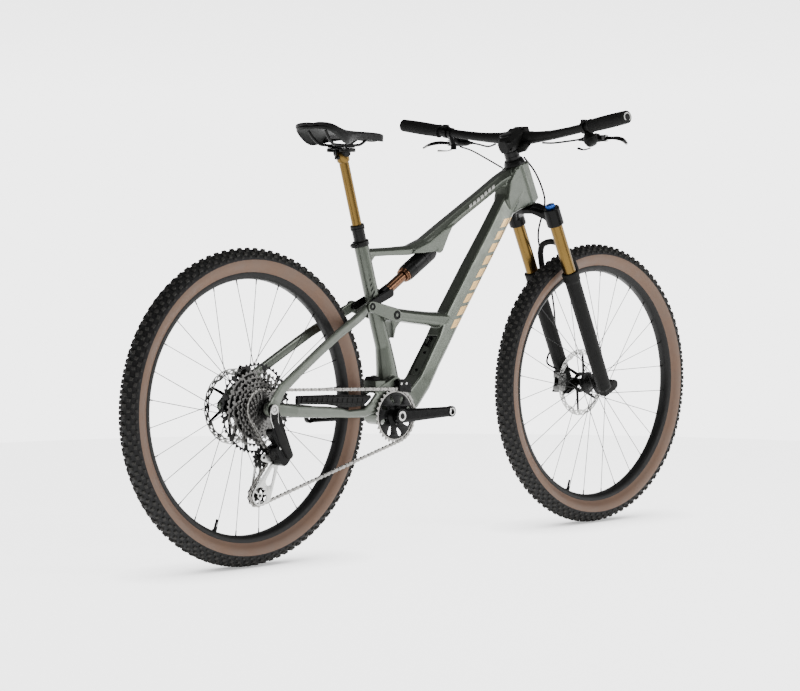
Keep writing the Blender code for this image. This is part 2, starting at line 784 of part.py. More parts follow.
def shock_place():
    """The matrix whose X runs up the shock's axis, with its origin at the upper bolt."""
    return Matrix.Translation(side(SHOCK_TOP)) @ Matrix.Rotation(-SHOCK_ANGLE, 4, "Y")


def make_yoke():
    """A block on the shaft's end, with an arm each side of the seat tube."""
    yoke = rod("shock_yoke", shock(YOKE_START), shock(0.2190), 0.0150, "black_paint", sides=16)
    start = shock(0.2100)
    outline = hull(((start.x, start.z), 0.0105), (ROCKER_REAR, 0.0100))
    arms = [
        plate("right_yoke_arm", outline, -0.0256, -0.0196),
        plate("left_yoke_arm", outline, 0.0196, 0.0256),
        rod("yoke_bar", shock(0.2095, y=-0.0250), shock(0.2095, y=0.0250), 0.0095, sides=12),
    ]
    return join(yoke, *arms)


# ---------------------------------------------------------------- wheels


def make_tyre(name, axle):
    outer = [(0.3135, 0.0150), (0.3360, 0.0290), (0.3590, 0.0270), (TYRE_R, 0.0090)]
    inner = [(0.3670, 0.0080), (0.3450, 0.0250)]
    profile = [*outer, *[(r, -y) for r, y in reversed(outer)]]
    profile += [(r, -y) for r, y in reversed(inner)] + [(r, y) for r, y in inner]
    return turned(name, profile, side(axle), look="rubber", steps=ROUND, closed=True)


def make_rim(name, axle):
    half = [(0.3060, 0.0110), (RIM_OUTER_R, 0.0165), (RIM_INNER_R, 0.0090)]
    profile = [*half, *[(r, -y) for r, y in reversed(half)]]
    return turned(name, profile, side(axle), look="black_alloy", steps=ROUND, closed=True)


def make_hub(name, axle, bore, right, left, ends):
    """A hub shell with two flanges. The freehub or end caps reach out to the ends."""
    flange, shell = 0.0290, 0.0152
    profile = [
        (bore, ends[1]),
        (0.0105, ends[1]),
        (shell, left + 0.0060),
        (flange, left + 0.0020),
        (flange, left - 0.0020),
        (shell, left - 0.0070),
        (shell, right + 0.0070),
        (flange, right + 0.0020),
        (flange, right - 0.0020),
        (shell, right - 0.0035),
        (0.0105, ends[0]),
        (bore, ends[0]),
    ]
    return turned(name, profile, side(axle), look="black_alloy", steps=16, closed=True)


def make_spokes(name, axle, right, left, rim_y=0.0025):
    """Crossed spokes that a thin nipple ring joins just inside the rim."""
    band_out = RIM_INNER_R * math.cos(math.pi / ROUND) - GAP
    band_in = band_out - 0.0028
    band = [(band_out, 0.0035), (band_out, -0.0035), (band_in, -0.0035), (band_in, 0.0035)]
    ring = turned(name, band, side(axle), look="dark_steel", steps=SPOKE_COUNT, closed=True)
    bm = bmesh.new()
    per_flange = SPOKE_COUNT // 2
    lean = SPOKE_CROSSINGS * 2 * math.pi / per_flange
    for k in range(SPOKE_COUNT):
        on_left = k % 2 == 0
        leading = (k // 2) % 2 == 0
        rim_angle = 2 * math.pi * (k + 0.5) / SPOKE_COUNT
        hub_angle = rim_angle + (lean if leading else -lean)
        hub_y = (left if on_left else right) + (0.0030 if leading else -0.0030)
        hub_r, rim_r = 0.0300, band_in + 0.0010
        centre = side(axle)
        inner = centre + Vector((hub_r * math.cos(hub_angle), hub_y, hub_r * math.sin(hub_angle)))
        rim_side = rim_y if on_left else -rim_y
        outer = centre + Vector((rim_r * math.cos(rim_angle), rim_side, rim_r * math.sin(rim_angle)))
        axis = outer - inner
        turn = axis.to_track_quat("Z", "Y").to_matrix().to_4x4()
        matrix = Matrix.Translation((inner + outer) / 2) @ turn
        bmesh.ops.create_cone(
            bm,
            cap_ends=True,
            segments=3,
            radius1=SPOKE_R,
            radius2=SPOKE_R,
            depth=axis.length,
            matrix=matrix,
        )
    wires = mesh_object(name + "_wires", bm)
    return join(ring, wires)


def make_rotor(name, axle, y):
    """A brake ring on six arms, with a wave of small holes left to the surface work."""
    bore = circle_outline(axle, 0.0175, 12)
    windows = []
    for k in range(6):
        start, end = math.radians(60 * k + 8), math.radians(60 * k + 52)
        outer = arc_between(axle, ROTOR_R - 0.0150, end, start, 1, math.radians(15))
        inner = arc_between(axle, 0.0260, start, end, -1, math.radians(22))
        windows.append(outer + inner)
    outline = circle_outline(axle, ROTOR_R, 30)
    return plate(name, outline, y - 0.0009, y + 0.0009, "silver_alloy", [bore, *windows])


def make_wheel(label, axle, right, left, ends, bore, rotor_y):
    make_tyre(label + "_tyre", axle)
    make_rim(label + "_rim", axle)
    make_spokes(label + "_spokes", axle, right, left)
    make_hub(label + "_hub", axle, bore, right, left, ends)
    make_rotor(label + "_rotor", axle, rotor_y)


def make_caliper(name, place, y, angle, look):
    """A caliper whose slot takes the rotor. Its long side lies along the angle."""
    turn = Matrix.Translation(side(place, y)) @ Matrix.Rotation(-angle, 4, "Y")
    body = block(name, (-0.0280, -0.0160, -0.0130), (0.0280, 0.0160, 0.0160), look, 0.003, turn)
    slot = block(name + "_slot", (-0.0400, -0.0016, -0.0300), (0.0400, 0.0016, 0.0115), place=turn)
    return cut(body, slot)


# ---------------------------------------------------------------- drive

CASSETTE_INNER_Y = -0.0278
CASSETTE_OUTER_Y = -0.0680


def make_cassette():
    """Pairs of cogs as steps. The cog that carries the chain ends level with its inner side."""
    inner = 0.0162
    chain_side = CHAIN_Y + CHAIN_HALF_WIDTH + 3 * GAP
    last = CASSETTE_OUTER_Y
    profile = [(inner, CASSETTE_INNER_Y)]
    ends = [-0.0310, -0.0345, -0.0380, -0.0420, chain_side, CHAIN_Y - 0.0034, -0.0600, last]
    for teeth, end in zip((52, 44, 38, 32, 28, COG_TEETH, 16, 12), ends):
        radius = pitch_radius(teeth) - (TOOTH_CLEAR if teeth <= COG_TEETH else 0.0)
        profile += [(radius, profile[-1][1]), (radius, end)]
    profile.append((inner, last))
    return turned(
        "cassette", profile, side(REAR_AXLE), look="dark_steel", steps=24, closed=True
    )


def make_chain():
    """A band on the pitch line round ring, cog and both pulleys, clear of their teeth."""
    circles = [
        (BOTTOM_BRACKET, pitch_radius(RING_TEETH), 1),
        (TENSION_PULLEY, pitch_radius(PULLEY_TEETH), 1),
        (GUIDE_PULLEY, pitch_radius(PULLEY_TEETH), -1),
        (REAR_AXLE, pitch_radius(COG_TEETH), 1),
    ]
    path = belt_path(circles, math.radians(15))
    curve = bpy.data.curves.new("chain", "CURVE")
    curve.dimensions = "3D"
    curve.extrude = CHAIN_HALF_WIDTH
    spline = curve.splines.new("POLY")
    spline.points.add(len(path) - 1)
    for point, (x, z) in zip(spline.points, path):
        point.co = (x, z, 0, 1)
    spline.use_cyclic_u = True
    place = Matrix.Translation((0, CHAIN_Y, 0)) @ Matrix.Rotation(math.radians(90), 4, "X")
    chain = curve_mesh("chain", curve, place, "dark_steel")
    solid = chain.modifiers.new("links", "SOLIDIFY")
    solid.thickness = 2 * CHAIN_HALF_HEIGHT
    solid.offset = 0
    solid.use_even_offset = True
    return chain


def make_crank():
    bb, tip = BOTTOM_BRACKET, crank_tip()
    inner_y, outer_y = -0.0600, -0.0745
    right = loft(
        "crank_right",
        [
            (side((bb[0] - 0.0120, bb[1]), -0.0672), 0.0070, 0.0150),
            (side((bb[0] + 0.0100, bb[1]), -0.0674), 0.0072, 0.0180),
            (side((bb[0] + 0.0900, bb[1] + 0.0012), -0.0715), 0.0062, 0.0150),
            (side((tip[0] - 0.0050, tip[1]), -0.0745), 0.0058, 0.0130),
        ],
        "black_paint",
        sides=8,
        squareness=0.55,
    )
    join(
        right,
        cross_rod("crank_boss", bb, outer_y, inner_y, 0.0185, sides=16),
        cross_rod("crank_eye", tip, -0.0805, -0.0690, 0.0140, sides=16),
        cross_rod("spindle", bb, -0.0620, 0.0700, 0.0144, sides=16),
    )
    cut(right, cross_rod("pedal_hole", tip, -0.1, -0.05, 0.0070, sides=12))
    far_tip = (2 * bb[0] - tip[0], 2 * bb[1] - tip[1])
    left = loft(
        "crank_left",
        [
            (side((bb[0] + 0.0120, bb[1]), 0.0672), 0.0070, 0.0150),
            (side((bb[0] - 0.0100, bb[1]), 0.0674), 0.0072, 0.0180),
            (side((bb[0] - 0.0900, bb[1] - 0.0012), 0.0715), 0.0062, 0.0150),
            (side((far_tip[0] + 0.0050, far_tip[1]), 0.0745), 0.0058, 0.0130),
        ],
        "black_paint",
        sides=8,
        squareness=0.55,
    )
    join(
        left,
        cross_rod("left_boss", bb, -inner_y, -outer_y, 0.0205, sides=16),
        cross_rod("left_eye", far_tip, 0.0690, 0.0805, 0.0140, sides=16),
    )
    cut(
        left,
        cross_rod("spindle_hole", bb, 0.05, 0.0705, 0.0147, sides=16),
        cross_rod("left_pedal_hole", far_tip, 0.05, 0.1, 0.0070, sides=12),
    )


def crank_tip():
    return (
        BOTTOM_BRACKET[0] + CRANK_LENGTH * math.cos(CRANK_ANGLE),
        BOTTOM_BRACKET[1] + CRANK_LENGTH * math.sin(CRANK_ANGLE),
    )


def make_chainring():
    outline = circle_outline(BOTTOM_BRACKET, pitch_radius(RING_TEETH) - TOOTH_CLEAR, RING_TEETH)
    windows = []
    for k in range(8):
        start, end = math.radians(45 * k + 9), math.radians(45 * k + 36)
        outer = arc_between(BOTTOM_BRACKET, 0.0520, end, start, 1, math.radians(27))
        inner = arc_between(BOTTOM_BRACKET, 0.0280, start, end, -1, math.radians(27))
        windows.append(outer + inner)
    y = CHAIN_Y
    ring = plate("chainring", outline, y - 0.0011, y + 0.0011, "black_paint", windows)
    hub = cross_rod("ring_hub", BOTTOM_BRACKET, -0.0597, -0.0450, 0.0200, sides=16)
    join(ring, hub)
    return cut(ring, cross_rod("ring_bore", BOTTOM_BRACKET, -0.1, 0.0, 0.0147, sides=16))


def make_pulley(name, centre):
    tip = pitch_radius(PULLEY_TEETH) - TOOTH_CLEAR
    outline = toothed_outline(PULLEY_TEETH, tip - 0.0020, tip, centre)
    bore = circle_outline(centre, 0.0043, 8)
    return plate(name, outline, CHAIN_Y - 0.0022, CHAIN_Y + 0.0022, "black_paint", [bore])


def make_derailleur():
    mount = plate(
        "derailleur_body",
        hull((REAR_AXLE, 0.0125), (KNUCKLE, 0.0105), ((-0.6080, 0.3150), 0.0100)),
        -0.0955,
        -0.0888,
        "black_paint",
    )
    block_outline = hull((KNUCKLE, 0.0130), (CAGE_PIVOT, 0.0105), ((-0.6000, 0.2790), 0.0090))
    low_block = plate("knuckle_block", block_outline, -0.0900, -0.0605)
    link_outline = hull(((-0.5900, 0.2850), 0.0090), ((-0.6150, 0.3190), 0.0080))
    return join(mount, low_block, plate("link_block", link_outline, -0.0900, -0.0690))


def make_cage():
    """Two plates that hold the pulleys between them, turning on the cage pivot."""
    outer_outline = hull(
        (CAGE_PIVOT, 0.0110), ((-0.6060, 0.1620), 0.0080), (TENSION_PULLEY, 0.0250), step=0.6
    )
    cage = plate("derailleur_cage", outer_outline, -0.0600, -0.0580, "silver_alloy")
    inner_outline = hull((GUIDE_PULLEY, 0.0100), (TENSION_PULLEY, 0.0150))
    inner = plate("inner_cage", inner_outline, -0.0430, -0.0412)
    bridge_outline = hull((GUIDE_PULLEY, 0.0090), (CAGE_PIVOT, 0.0090))
    bridge = plate("cage_bridge", bridge_outline, -0.0600, -0.0580)
    pins = []
    for name, place in (("guide_pin", GUIDE_PULLEY), ("tension_pin", TENSION_PULLEY)):
        pins.append(cross_rod(name, place, -0.0590, -0.0420, 0.0038, sides=10))
    return join(cage, bridge, inner, *pins)


def make_drive():
    make_cassette()
    make_chain()
    make_crank()
    make_chainring()
    make_derailleur()
    make_cage()
    make_pulley("guide_pulley", GUIDE_PULLEY)
    make_pulley("tension_pulley", TENSION_PULLEY)


# ---------------------------------------------------------------- fork


def make_crown():
    """The crown bridges the legs over the tyre, and the steerer stands on it."""
    stations = [
        (steer(LEG_AHEAD, 0.5040, -LEG_Y), 0.0180, 0.0200),
        (steer(LEG_AHEAD, 0.5090, -0.0500), 0.0180, 0.0165),
        (steer(0.0, 0.5320, -0.0260), 0.0220, 0.0110),
        (steer(0.0, 0.5330, 0.0), 0.0250, 0.0105),
        (steer(0.0, 0.5320, 0.0260), 0.0220, 0.0110),
        (steer(LEG_AHEAD, 0.5090, 0.0500), 0.0180, 0.0165),
        (steer(LEG_AHEAD, 0.5040, LEG_Y), 0.0180, 0.0200),
    ]
    crown = crown_loft("fork_crown", stations)
    for name, y in (("right_socket", -LEG_Y), ("left_socket", LEG_Y)):
        low, high = steer(LEG_AHEAD, CROWN_LOW, y), steer(LEG_AHEAD, CROWN_HIGH, y)
        join(crown, rod(name, low, high, 0.0225, sides=16))
        low, high = steer(LEG_AHEAD, 0.4700, y), steer(LEG_AHEAD, 0.5210, y)
        bore = rod(name + "_bore", low, high, STANCHION_R + 0.0005, sides=16)
        cut(crown, bore)
    join(crown, rod("steerer", steer(0, 0.5300), steer(0, 0.7360), 0.0140, sides=16))


def crown_loft(name, stations):
    """A loft along Y whose sections lie square to the steering axis."""
    ahead, up = steer(1, 0) - steer(0, 0), steer(0, 1) - steer(0, 0)
    bm = bmesh.new()
    rings = []
    for centre, half_ahead, half_up in stations:
        ring = []
        for k in range(8):
            angle = math.radians(45 * k + 22.5)
            u = math.copysign(abs(math.cos(angle)) ** 0.6, math.cos(angle))
            v = math.copysign(abs(math.sin(angle)) ** 0.6, math.sin(angle))
            ring.append(bm.verts.new(centre + ahead * (u * half_ahead) + up * (v * half_up)))
        rings.append(ring)
    for first, second in zip(rings, rings[1:]):
        for k in range(8):
            n = (k + 1) % 8
            bm.faces.new((first[k], first[n], second[n], second[k]))
    bm.faces.new(rings[0])
    bm.faces.new(rings[-1])
    return mesh_object(name, bm, "black_paint")


def make_stanchions():
    for name, y in (("stanchion_right", -LEG_Y), ("stanchion_left", LEG_Y)):
        low, high = steer(LEG_AHEAD, 0.2050, y), steer(LEG_AHEAD, 0.5207, y)
        rod(name, low, high, STANCHION_R, "gold_coat", sides=16)
    dial_low, dial_high = steer(LEG_AHEAD, 0.5273, -LEG_Y), steer(LEG_AHEAD, 0.5370, -LEG_Y)
    rod("fork_dial", dial_low, dial_high, 0.0125, "blue", 0.0110, 12)


def make_lowers():
    """The right leg, its half of the arch and its half of the axle, mirrored across."""
    y = -LEG_Y
    leg = rod(
        "fork_lowers",
        steer(LEG_AHEAD, 0.0030, y),
        steer(LEG_AHEAD, SEAL_HIGH, y),
        0.0195,
        "black_paint",
        0.0205,
        16,
    )
    seal = rod("seal", steer(LEG_AHEAD, 0.3180, y), steer(LEG_AHEAD, SEAL_HIGH, y), 0.0226, sides=16)
    arch = arch_half()
    lug = rod("axle_boss", steer(FORK_OFFSET, 0, -0.0790), steer(FORK_OFFSET, 0, -0.0555), 0.0130)
    web = block(
        "axle_web",
        (0, -0.0770, -0.0150),
        (FORK_OFFSET, -0.0555, 0.0150),
        place=Matrix.Translation(steer(0, 0)) @ Matrix.Rotation(HEAD_ANGLE - math.pi / 2, 4, "Y"),
    )
    axle = rod("front_axle", steer(FORK_OFFSET, 0, -0.0700), steer(FORK_OFFSET, 0, 0.01), FRONT_AXLE_R)
    join(leg, seal, arch, lug, web, axle)
    bore = rod(
        "leg_bore",
        steer(LEG_AHEAD, 0.0550, y),
        steer(LEG_AHEAD, SEAL_HIGH + 0.02, y),
        STANCHION_R + 0.0005,
        sides=20,
    )
    cut(leg, bore)
    return mirror_across(leg)


def arch_half():
    """Half of the arch, from the leg's front over the tyre to the middle."""
    route = [
        steer(0.0280, 0.3120, -0.0610),
        steer(0.0460, 0.3370, -0.0590),
        steer(0.0465, 0.3800, -0.0500),
        steer(0.0465, 0.4080, -0.0310),
        steer(0.0465, 0.4160, 0.0),
        steer(0.0465, 0.4160, 0.0100),
    ]
    points = smooth_route(route, 2)
    return tube("arch", points, 0.0085)


def make_fork():
    make_crown()
    make_stanchions()
    make_lowers()
    place = steer(-0.0300, 0.0400)
    make_caliper("front_caliper", (place.x, place.z), 0.0430, math.radians(86), "silver_alloy")


# ---------------------------------------------------------------- cockpit

BAR_CENTRE = (0.3221, 1.0190)
BAR_END = (0.2905, 1.0613)
BAR_HALF = 0.3890
GRIP_START = 0.2620


def bar_route():
    """The bar's right half, from the stem to its end."""
    end_x, end_z = BAR_END
    return [
        (*side(BAR_CENTRE, 0.0), 0.0172),
        (*side(BAR_CENTRE, -0.0300), 0.0172),
        (BAR_CENTRE[0] - 0.0015, -0.0620, BAR_CENTRE[1] + 0.0010, 0.0120),
        (BAR_CENTRE[0] - 0.0060, -0.1200, BAR_CENTRE[1] + 0.0050, 0.0112),
        (BAR_CENTRE[0] - 0.0130, -0.1800, BAR_CENTRE[1] + 0.0120, 0.0111),
        (BAR_CENTRE[0] - 0.0156, -0.2050, BAR_CENTRE[1] + 0.0155, 0.0111),
        (end_x, -BAR_HALF + 0.0020, end_z, 0.0110),
    ]


def bar_point(y):
    """The bar's centre at a distance out from the middle, on the straight outer stretch."""
    inner, outer = bar_route()[-2], bar_route()[-1]
    share = (abs(y) - abs(inner[1])) / (abs(outer[1]) - abs(inner[1]))
    x = inner[0] + (outer[0] - inner[0]) * share
    z = inner[2] + (outer[2] - inner[2]) * share
    return Vector((x, y, z))


def make_bar():
    right = bar_route()
    left = [(x, -y, z, r) for x, y, z, r in right[1:]]
    whole = [*reversed(right), *left]
    points = [(x, y, z) for x, y, z, r in whole]
    radii = [r for x, y, z, r in whole]
    tube("handlebar", points, 0.0172, "black_alloy", radii, resolution=3)
    for name, sign in (("grip_right", -1), ("grip_left", 1)):
        start, end = bar_point(sign * GRIP_START), bar_point(sign * BAR_HALF)
        grip = rod(name, start, end, 0.0160, "rubber", sides=16)
        deep = bar_point(sign * (BAR_HALF - 0.0010))
        cut(grip, rod(name + "_bore", bar_point(sign * 0.24), deep, 0.0116, sides=16))


def make_stem():
    """The stem's clamps on the steerer and on the bar, with the spacers under it."""
    top = sleeve("stem", steer(0, 0.6960), steer(0, 0.7350), 0.0195, 0.0146, "black_alloy")
    bar = rod("bar_clamp", side(BAR_CENTRE, -0.0240), side(BAR_CENTRE, 0.0240), 0.0215, sides=16)
    neck_low, neck_high = steer(0.0120, 0.7155), side(BAR_CENTRE)
    neck = loft("stem_neck", [(neck_low, 0.0200, 0.0170), (neck_high, 0.0200, 0.0160)], sides=8)
    join(top, bar, neck)
    cut(
        top,
        rod("stem_bore", steer(0, 0.68), steer(0, 0.7500), 0.0146),
        rod("bar_bore", side(BAR_CENTRE, -0.05), side(BAR_CENTRE, 0.05), 0.0178),
    )
    low, cover_high, high = HEAD_HIGH + GAP, 0.6700, 0.6957
    profile = [(0.0146, low), (0.0275, low), (0.0230, cover_high), (0.0185, cover_high)]
    profile += [(0.0185, high), (0.0146, high)]
    up = steer(0, 1) - steer(0, 0)
    turned("headset_spacers", profile, steer(0, 0), up, "black_alloy", 20, closed=True)


def make_control(name, sign, *extras):
    """A brake master: a clamp on the bar, a body in front of it and the lever's pivot ears."""
    near, far = sorted((sign * 0.2330, sign * 0.2470))
    middle = sign * 0.2400
    clamp = rod(name, bar_point(near), bar_point(far), 0.0155, "black_alloy", sides=16)
    centre = bar_point(middle)
    arm = block(
        name + "_arm",
        centre + Vector((0.0060, -0.0070, -0.0320)),
        centre + Vector((0.0480, 0.0070, -0.0100)),
    )
    inner = centre + Vector((0.0430, -sign * 0.0420, -0.0270))
    outer = centre + Vector((0.0455, sign * 0.0240, -0.0265))
    body = rod(name + "_body", inner, outer, 0.0085, sides=12)
    join(clamp, arm, body, *extras)
    start, end = bar_point(sign * 0.22), bar_point(sign * 0.2610)
    return cut(clamp, rod(name + "_bore", start, end, 0.0115, sides=16))


def make_blade(name, sign):
    """The brake lever, hooked at its end, that turns on the pivot in front of the bar."""
    centre = bar_point(sign * 0.2400)
    pivot = centre + Vector((0.0455, sign * 0.0290, -0.0265))
    route = [
        pivot + Vector((0.0, 0.0, 0.0)),
        pivot + Vector((0.0020, sign * 0.0180, 0.0)),
        pivot + Vector((-0.0050, sign * 0.0420, -0.0010)),
        pivot + Vector((-0.0140, sign * 0.0680, -0.0060)),
        pivot + Vector((-0.0210, sign * 0.0880, -0.0170)),
    ]
    return tube(name, smooth_route(route, 2), 0.0045, "silver_alloy")


def shift_pod():
    """The shifter's body, which hangs from the right brake's clamp."""
    low, high = shift_place(), shift_place() + Vector((0, 0.0200, 0.0340))
    return rod("shift_pod", high, low, 0.0120, end_radius=0.0150)


def shift_place():
    return bar_point(-0.2600) + Vector((0.0100, 0, -0.0480))


def make_thumb_levers():
    paddle = shift_place() + Vector((-0.0100, 0.0, -0.0072))
    tube(
        "shift_paddle",
        [paddle, paddle + Vector((-0.0080, 0.0150, -0.0040)), paddle + Vector((-0.0120, 0.0300, 0))],
        0.0035,
        "black_paint",
    )
    start = bar_point(0.2250) + Vector((0.0100, 0, -0.0410))
    remote = tube(
        "dropper_remote",
        [start, start + Vector((-0.0100, 0.0120, -0.0060)), start + Vector((-0.0180, 0.0380, -0.0060))],
        0.0040,
        "silver_alloy",
    )
    return remote


def make_hoses():
    """Hoses and cable on their real routes between the controls, the frame and the fork."""
    centre = bar_point(0.2400)
    left = [
        centre + Vector((0.0430, -0.0430, -0.0270)),
        centre + Vector((0.0380, -0.0800, -0.0330)),
        Vector((0.3300, 0.1150, 1.0000)),
        Vector((0.3220, 0.0820, 1.0050)),
    ]
    tube("hose_left", smooth_route(left), 0.0025, "rubber")
    centre = bar_point(-0.2400)
    right = [
        centre + Vector((0.0430, 0.0430, -0.0270)),
        centre + Vector((0.0380, 0.0800, -0.0310)),
        Vector((0.3280, -0.1150, 1.0040)),
        Vector((0.3220, -0.0820, 1.0050)),
    ]
    tube("hose_right", smooth_route(right), 0.0025, "rubber")
    cable = [
        bar_point(0.2100) + Vector((0.0180, 0, -0.0340)),
        Vector((0.3180, 0.1600, 0.9890)),
        Vector((0.3050, 0.0900, 0.9640)),
        Vector((0.2940, 0.0310, 0.9420)),
    ]
    tube("dropper_cable", smooth_route(cable), 0.0022, "rubber")
    front = [
        Vector((0.3430, 0.0, 0.9700)),
        Vector((0.3850, 0.0, 0.9330)),
        Vector((0.4158, 0.0, 0.8855)),
        Vector((0.4279, 0.0040, 0.8465)),
        Vector((0.4450, 0.0300, 0.7810)),
        Vector((0.4780, 0.0550, 0.7300)),
        Vector((0.5350, 0.0850, 0.6500)),
        Vector((0.5594, 0.0920, 0.6064)),
        Vector((0.5720, 0.0930, 0.5300)),
        Vector((0.5620, 0.0945, 0.4700)),
        Vector((0.5430, 0.0930, 0.4420)),
        Vector((0.5260, 0.0780, 0.4240)),
        Vector((0.5320, 0.0520, 0.4110)),
    ]
    tube("front_brake_hose", smooth_route(front, 2), 0.0025, "rubber")


def make_cockpit():
    make_bar()
    make_stem()
    for label, sign in (("right", -1), ("left", 1)):
        extras = [shift_pod()] if sign < 0 else []
        make_control("brake_master_" + label, sign, *extras)
        make_blade("brake_blade_" + label, sign)
    make_thumb_levers()
    make_hoses()


# ---------------------------------------------------------------- seat


def make_dropper_post():
    low, high = seat(-0.0150), seat(0.2220)
    post = rod("dropper_post", low, high, DROPPER_INNER_R, "gold_coat", sides=16)
    head_low, head_high = seat(0.2165), seat(0.2400)
    head = rod("post_head", head_low, head_high, 0.0150, end_radius=0.0160, sides=12)
    place = seat(0.2440)
    clamp = block(
        "rail_clamp", place + Vector((-0.0190, -0.0240, -0.0045)), place + Vector((0.0190, 0.0240, 0.0045))
    )
    return join(post, head, clamp)


def make_saddle():
    """The padded shell, deep at its wings, with both rails under it."""
    stations = [
        (Vector((-0.4080, 0, 1.0330)), 0.0400, 0.0060),
        (Vector((-0.3980, 0, 1.0295)), 0.0620, 0.0120),
        (Vector((-0.3800, 0, 1.0245)), 0.0715, 0.0145),
        (Vector((-0.3500, 0, 1.0120)), 0.0690, 0.0125),
        (Vector((-0.3150, 0, 1.0090)), 0.0520, 0.0125),
        (Vector((-0.2800, 0, 1.0095)), 0.0360, 0.0120),
        (Vector((-0.2400, 0, 1.0105)), 0.0245, 0.0110),
        (Vector((-0.1950, 0, 1.0095)), 0.0190, 0.0095),
        (Vector((-0.1790, 0, 1.0085)), 0.0110, 0.0060),
    ]
    shell = loft("saddle", stations, "saddle_cover", sides=12, squareness=0.75)
    for name, y in (("right_rail", -0.0220), ("left_rail", 0.0220)):
        route = [
            Vector((-0.3900, y * 1.3, 1.0160)),
            Vector((-0.3620, y * 1.1, 0.9905)),
            Vector((-0.3450, y, 0.9870)),
            Vector((-0.2850, y, 0.9870)),
            Vector((-0.2550, y * 0.9, 0.9960)),
            Vector((-0.2300, y * 0.6, 1.0080)),
        ]
        join(shell, tube(name, smooth_route(route, 2), 0.0036))
    return shell


# ---------------------------------------------------------------- build


def make_bike():
    make_frame()
    make_door()
    make_frame_fittings()
    make_rear_suspension()
    make_shock()
    make_wheel("front", FRONT_AXLE, -0.0260, 0.0180, (-0.0550, 0.0550), FRONT_AXLE_R + GAP, 0.0430)
    make_wheel("rear", REAR_AXLE, -0.0205, 0.0300, (-0.0738, 0.0738), AXLE_HOLE_R, 0.0480)
    make_drive()
    make_fork()
    make_cockpit()
    make_dropper_post()
    make_saddle()


clear_scene()
PARTS = new_collection("mountain_bike")
CUTTERS = new_collection("cutters")
make_bike()
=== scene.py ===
"""The looks of a full-suspension mountain bike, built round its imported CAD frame.

Everything is in metres in the CAD's frame: +X is forward, +Y is the rider's left and +Z is up.
"""

import json
import math

import bmesh
import bpy
import numpy as np
from mathutils.bvhtree import BVHTree
from mathutils import Matrix, Vector


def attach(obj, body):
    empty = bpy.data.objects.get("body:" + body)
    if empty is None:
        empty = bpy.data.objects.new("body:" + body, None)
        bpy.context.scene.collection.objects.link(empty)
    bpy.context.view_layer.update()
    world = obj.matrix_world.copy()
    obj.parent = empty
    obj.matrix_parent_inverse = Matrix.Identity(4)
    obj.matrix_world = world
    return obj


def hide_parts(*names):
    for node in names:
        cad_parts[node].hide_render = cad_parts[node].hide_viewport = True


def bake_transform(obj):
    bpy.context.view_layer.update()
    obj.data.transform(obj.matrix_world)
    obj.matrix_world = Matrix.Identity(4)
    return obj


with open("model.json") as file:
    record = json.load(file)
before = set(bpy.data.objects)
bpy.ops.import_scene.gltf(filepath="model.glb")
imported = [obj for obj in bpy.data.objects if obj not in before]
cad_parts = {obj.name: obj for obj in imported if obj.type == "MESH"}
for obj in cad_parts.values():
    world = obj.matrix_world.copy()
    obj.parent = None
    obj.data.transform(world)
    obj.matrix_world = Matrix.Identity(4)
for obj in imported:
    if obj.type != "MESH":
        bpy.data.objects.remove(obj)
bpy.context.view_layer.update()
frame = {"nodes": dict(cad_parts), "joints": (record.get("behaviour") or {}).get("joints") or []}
NODES = frame["nodes"]
JOINT_AT = {j["name"]: Vector(j["pos_m"]) for j in frame["joints"] if j.get("pos_m")}

REAR_AXLE = JOINT_AT["rear_wheel_spin"]
FRONT_AXLE = JOINT_AT["front_wheel_spin"]
BOTTOM_BRACKET = JOINT_AT["crank_spin"]
MAIN_PIVOT = JOINT_AT["suspension"]
ROCKER_PIVOT = JOINT_AT["rocker_pivot"]
SHOCK_TOP = JOINT_AT["shock_swing"]
GUIDE_PULLEY = JOINT_AT["guide_pulley_spin"]
TENSION_PULLEY = JOINT_AT["tension_pulley_spin"]
CAGE_PIVOT = JOINT_AT["cage_swing"]

HEAD_ANGLE = math.radians(65.5)
SEAT_ANGLE = math.radians(73.8)
SHOCK_ANGLE = math.radians(32.0)
STEER_FOOT = Vector((0.57896, 0, 0.35375))
SEAT_TOP = Vector((-0.2454, 0, 0.7424))
ROCKER_REAR = Vector((-0.2464, 0, 0.5983))
LEG_AHEAD, LEG_Y = 0.0140, 0.0655
PITCH = 0.0127
CRANK_LENGTH, CRANK_ANGLE = 0.1700, math.radians(0.8)
RING_TEETH, COG_TEETH, PULLEY_TEETH = 32, 21, 12
CHAIN_Y = -0.0495
X, Y, Z = Vector((1, 0, 0)), Vector((0, 1, 0)), Vector((0, 0, 1))
RANGE_SOCKETS = ("From Min", "From Max", "To Min", "To Max")


# ---------------------------------------------------------------- places


def side(x, z, y=0.0):
    return Vector((x, y, z))


def polar(radius, angle, y=0.0):
    """A point of the side view at an angle from +X towards +Z."""
    return side(radius * math.cos(angle), radius * math.sin(angle), y)


def along(origin, angle, up, ahead, y):
    """A point measured up an inclined axis, which leans back from the horizontal by the angle."""
    axis = Vector((-math.cos(angle), 0, math.sin(angle)))
    normal = Vector((math.sin(angle), 0, math.cos(angle)))
    return Vector(origin) + axis * up + normal * ahead + Y * y


def steer(ahead, up, y=0.0):
    return along(STEER_FOOT, HEAD_ANGLE, up, ahead, y)


def seat(up, ahead=0.0, y=0.0):
    return along(SEAT_TOP, SEAT_ANGLE, up, ahead, y)


def shock(down, above=0.0, y=0.0):
    """A point down the shock's axis from its upper bolt."""
    axis = Vector((math.cos(SHOCK_ANGLE), 0, math.sin(SHOCK_ANGLE)))
    normal = Vector((-math.sin(SHOCK_ANGLE), 0, math.cos(SHOCK_ANGLE)))
    return SHOCK_TOP - axis * down + normal * above + Y * y


def pitch_radius(teeth):
    return PITCH / (2 * math.sin(math.pi / teeth))


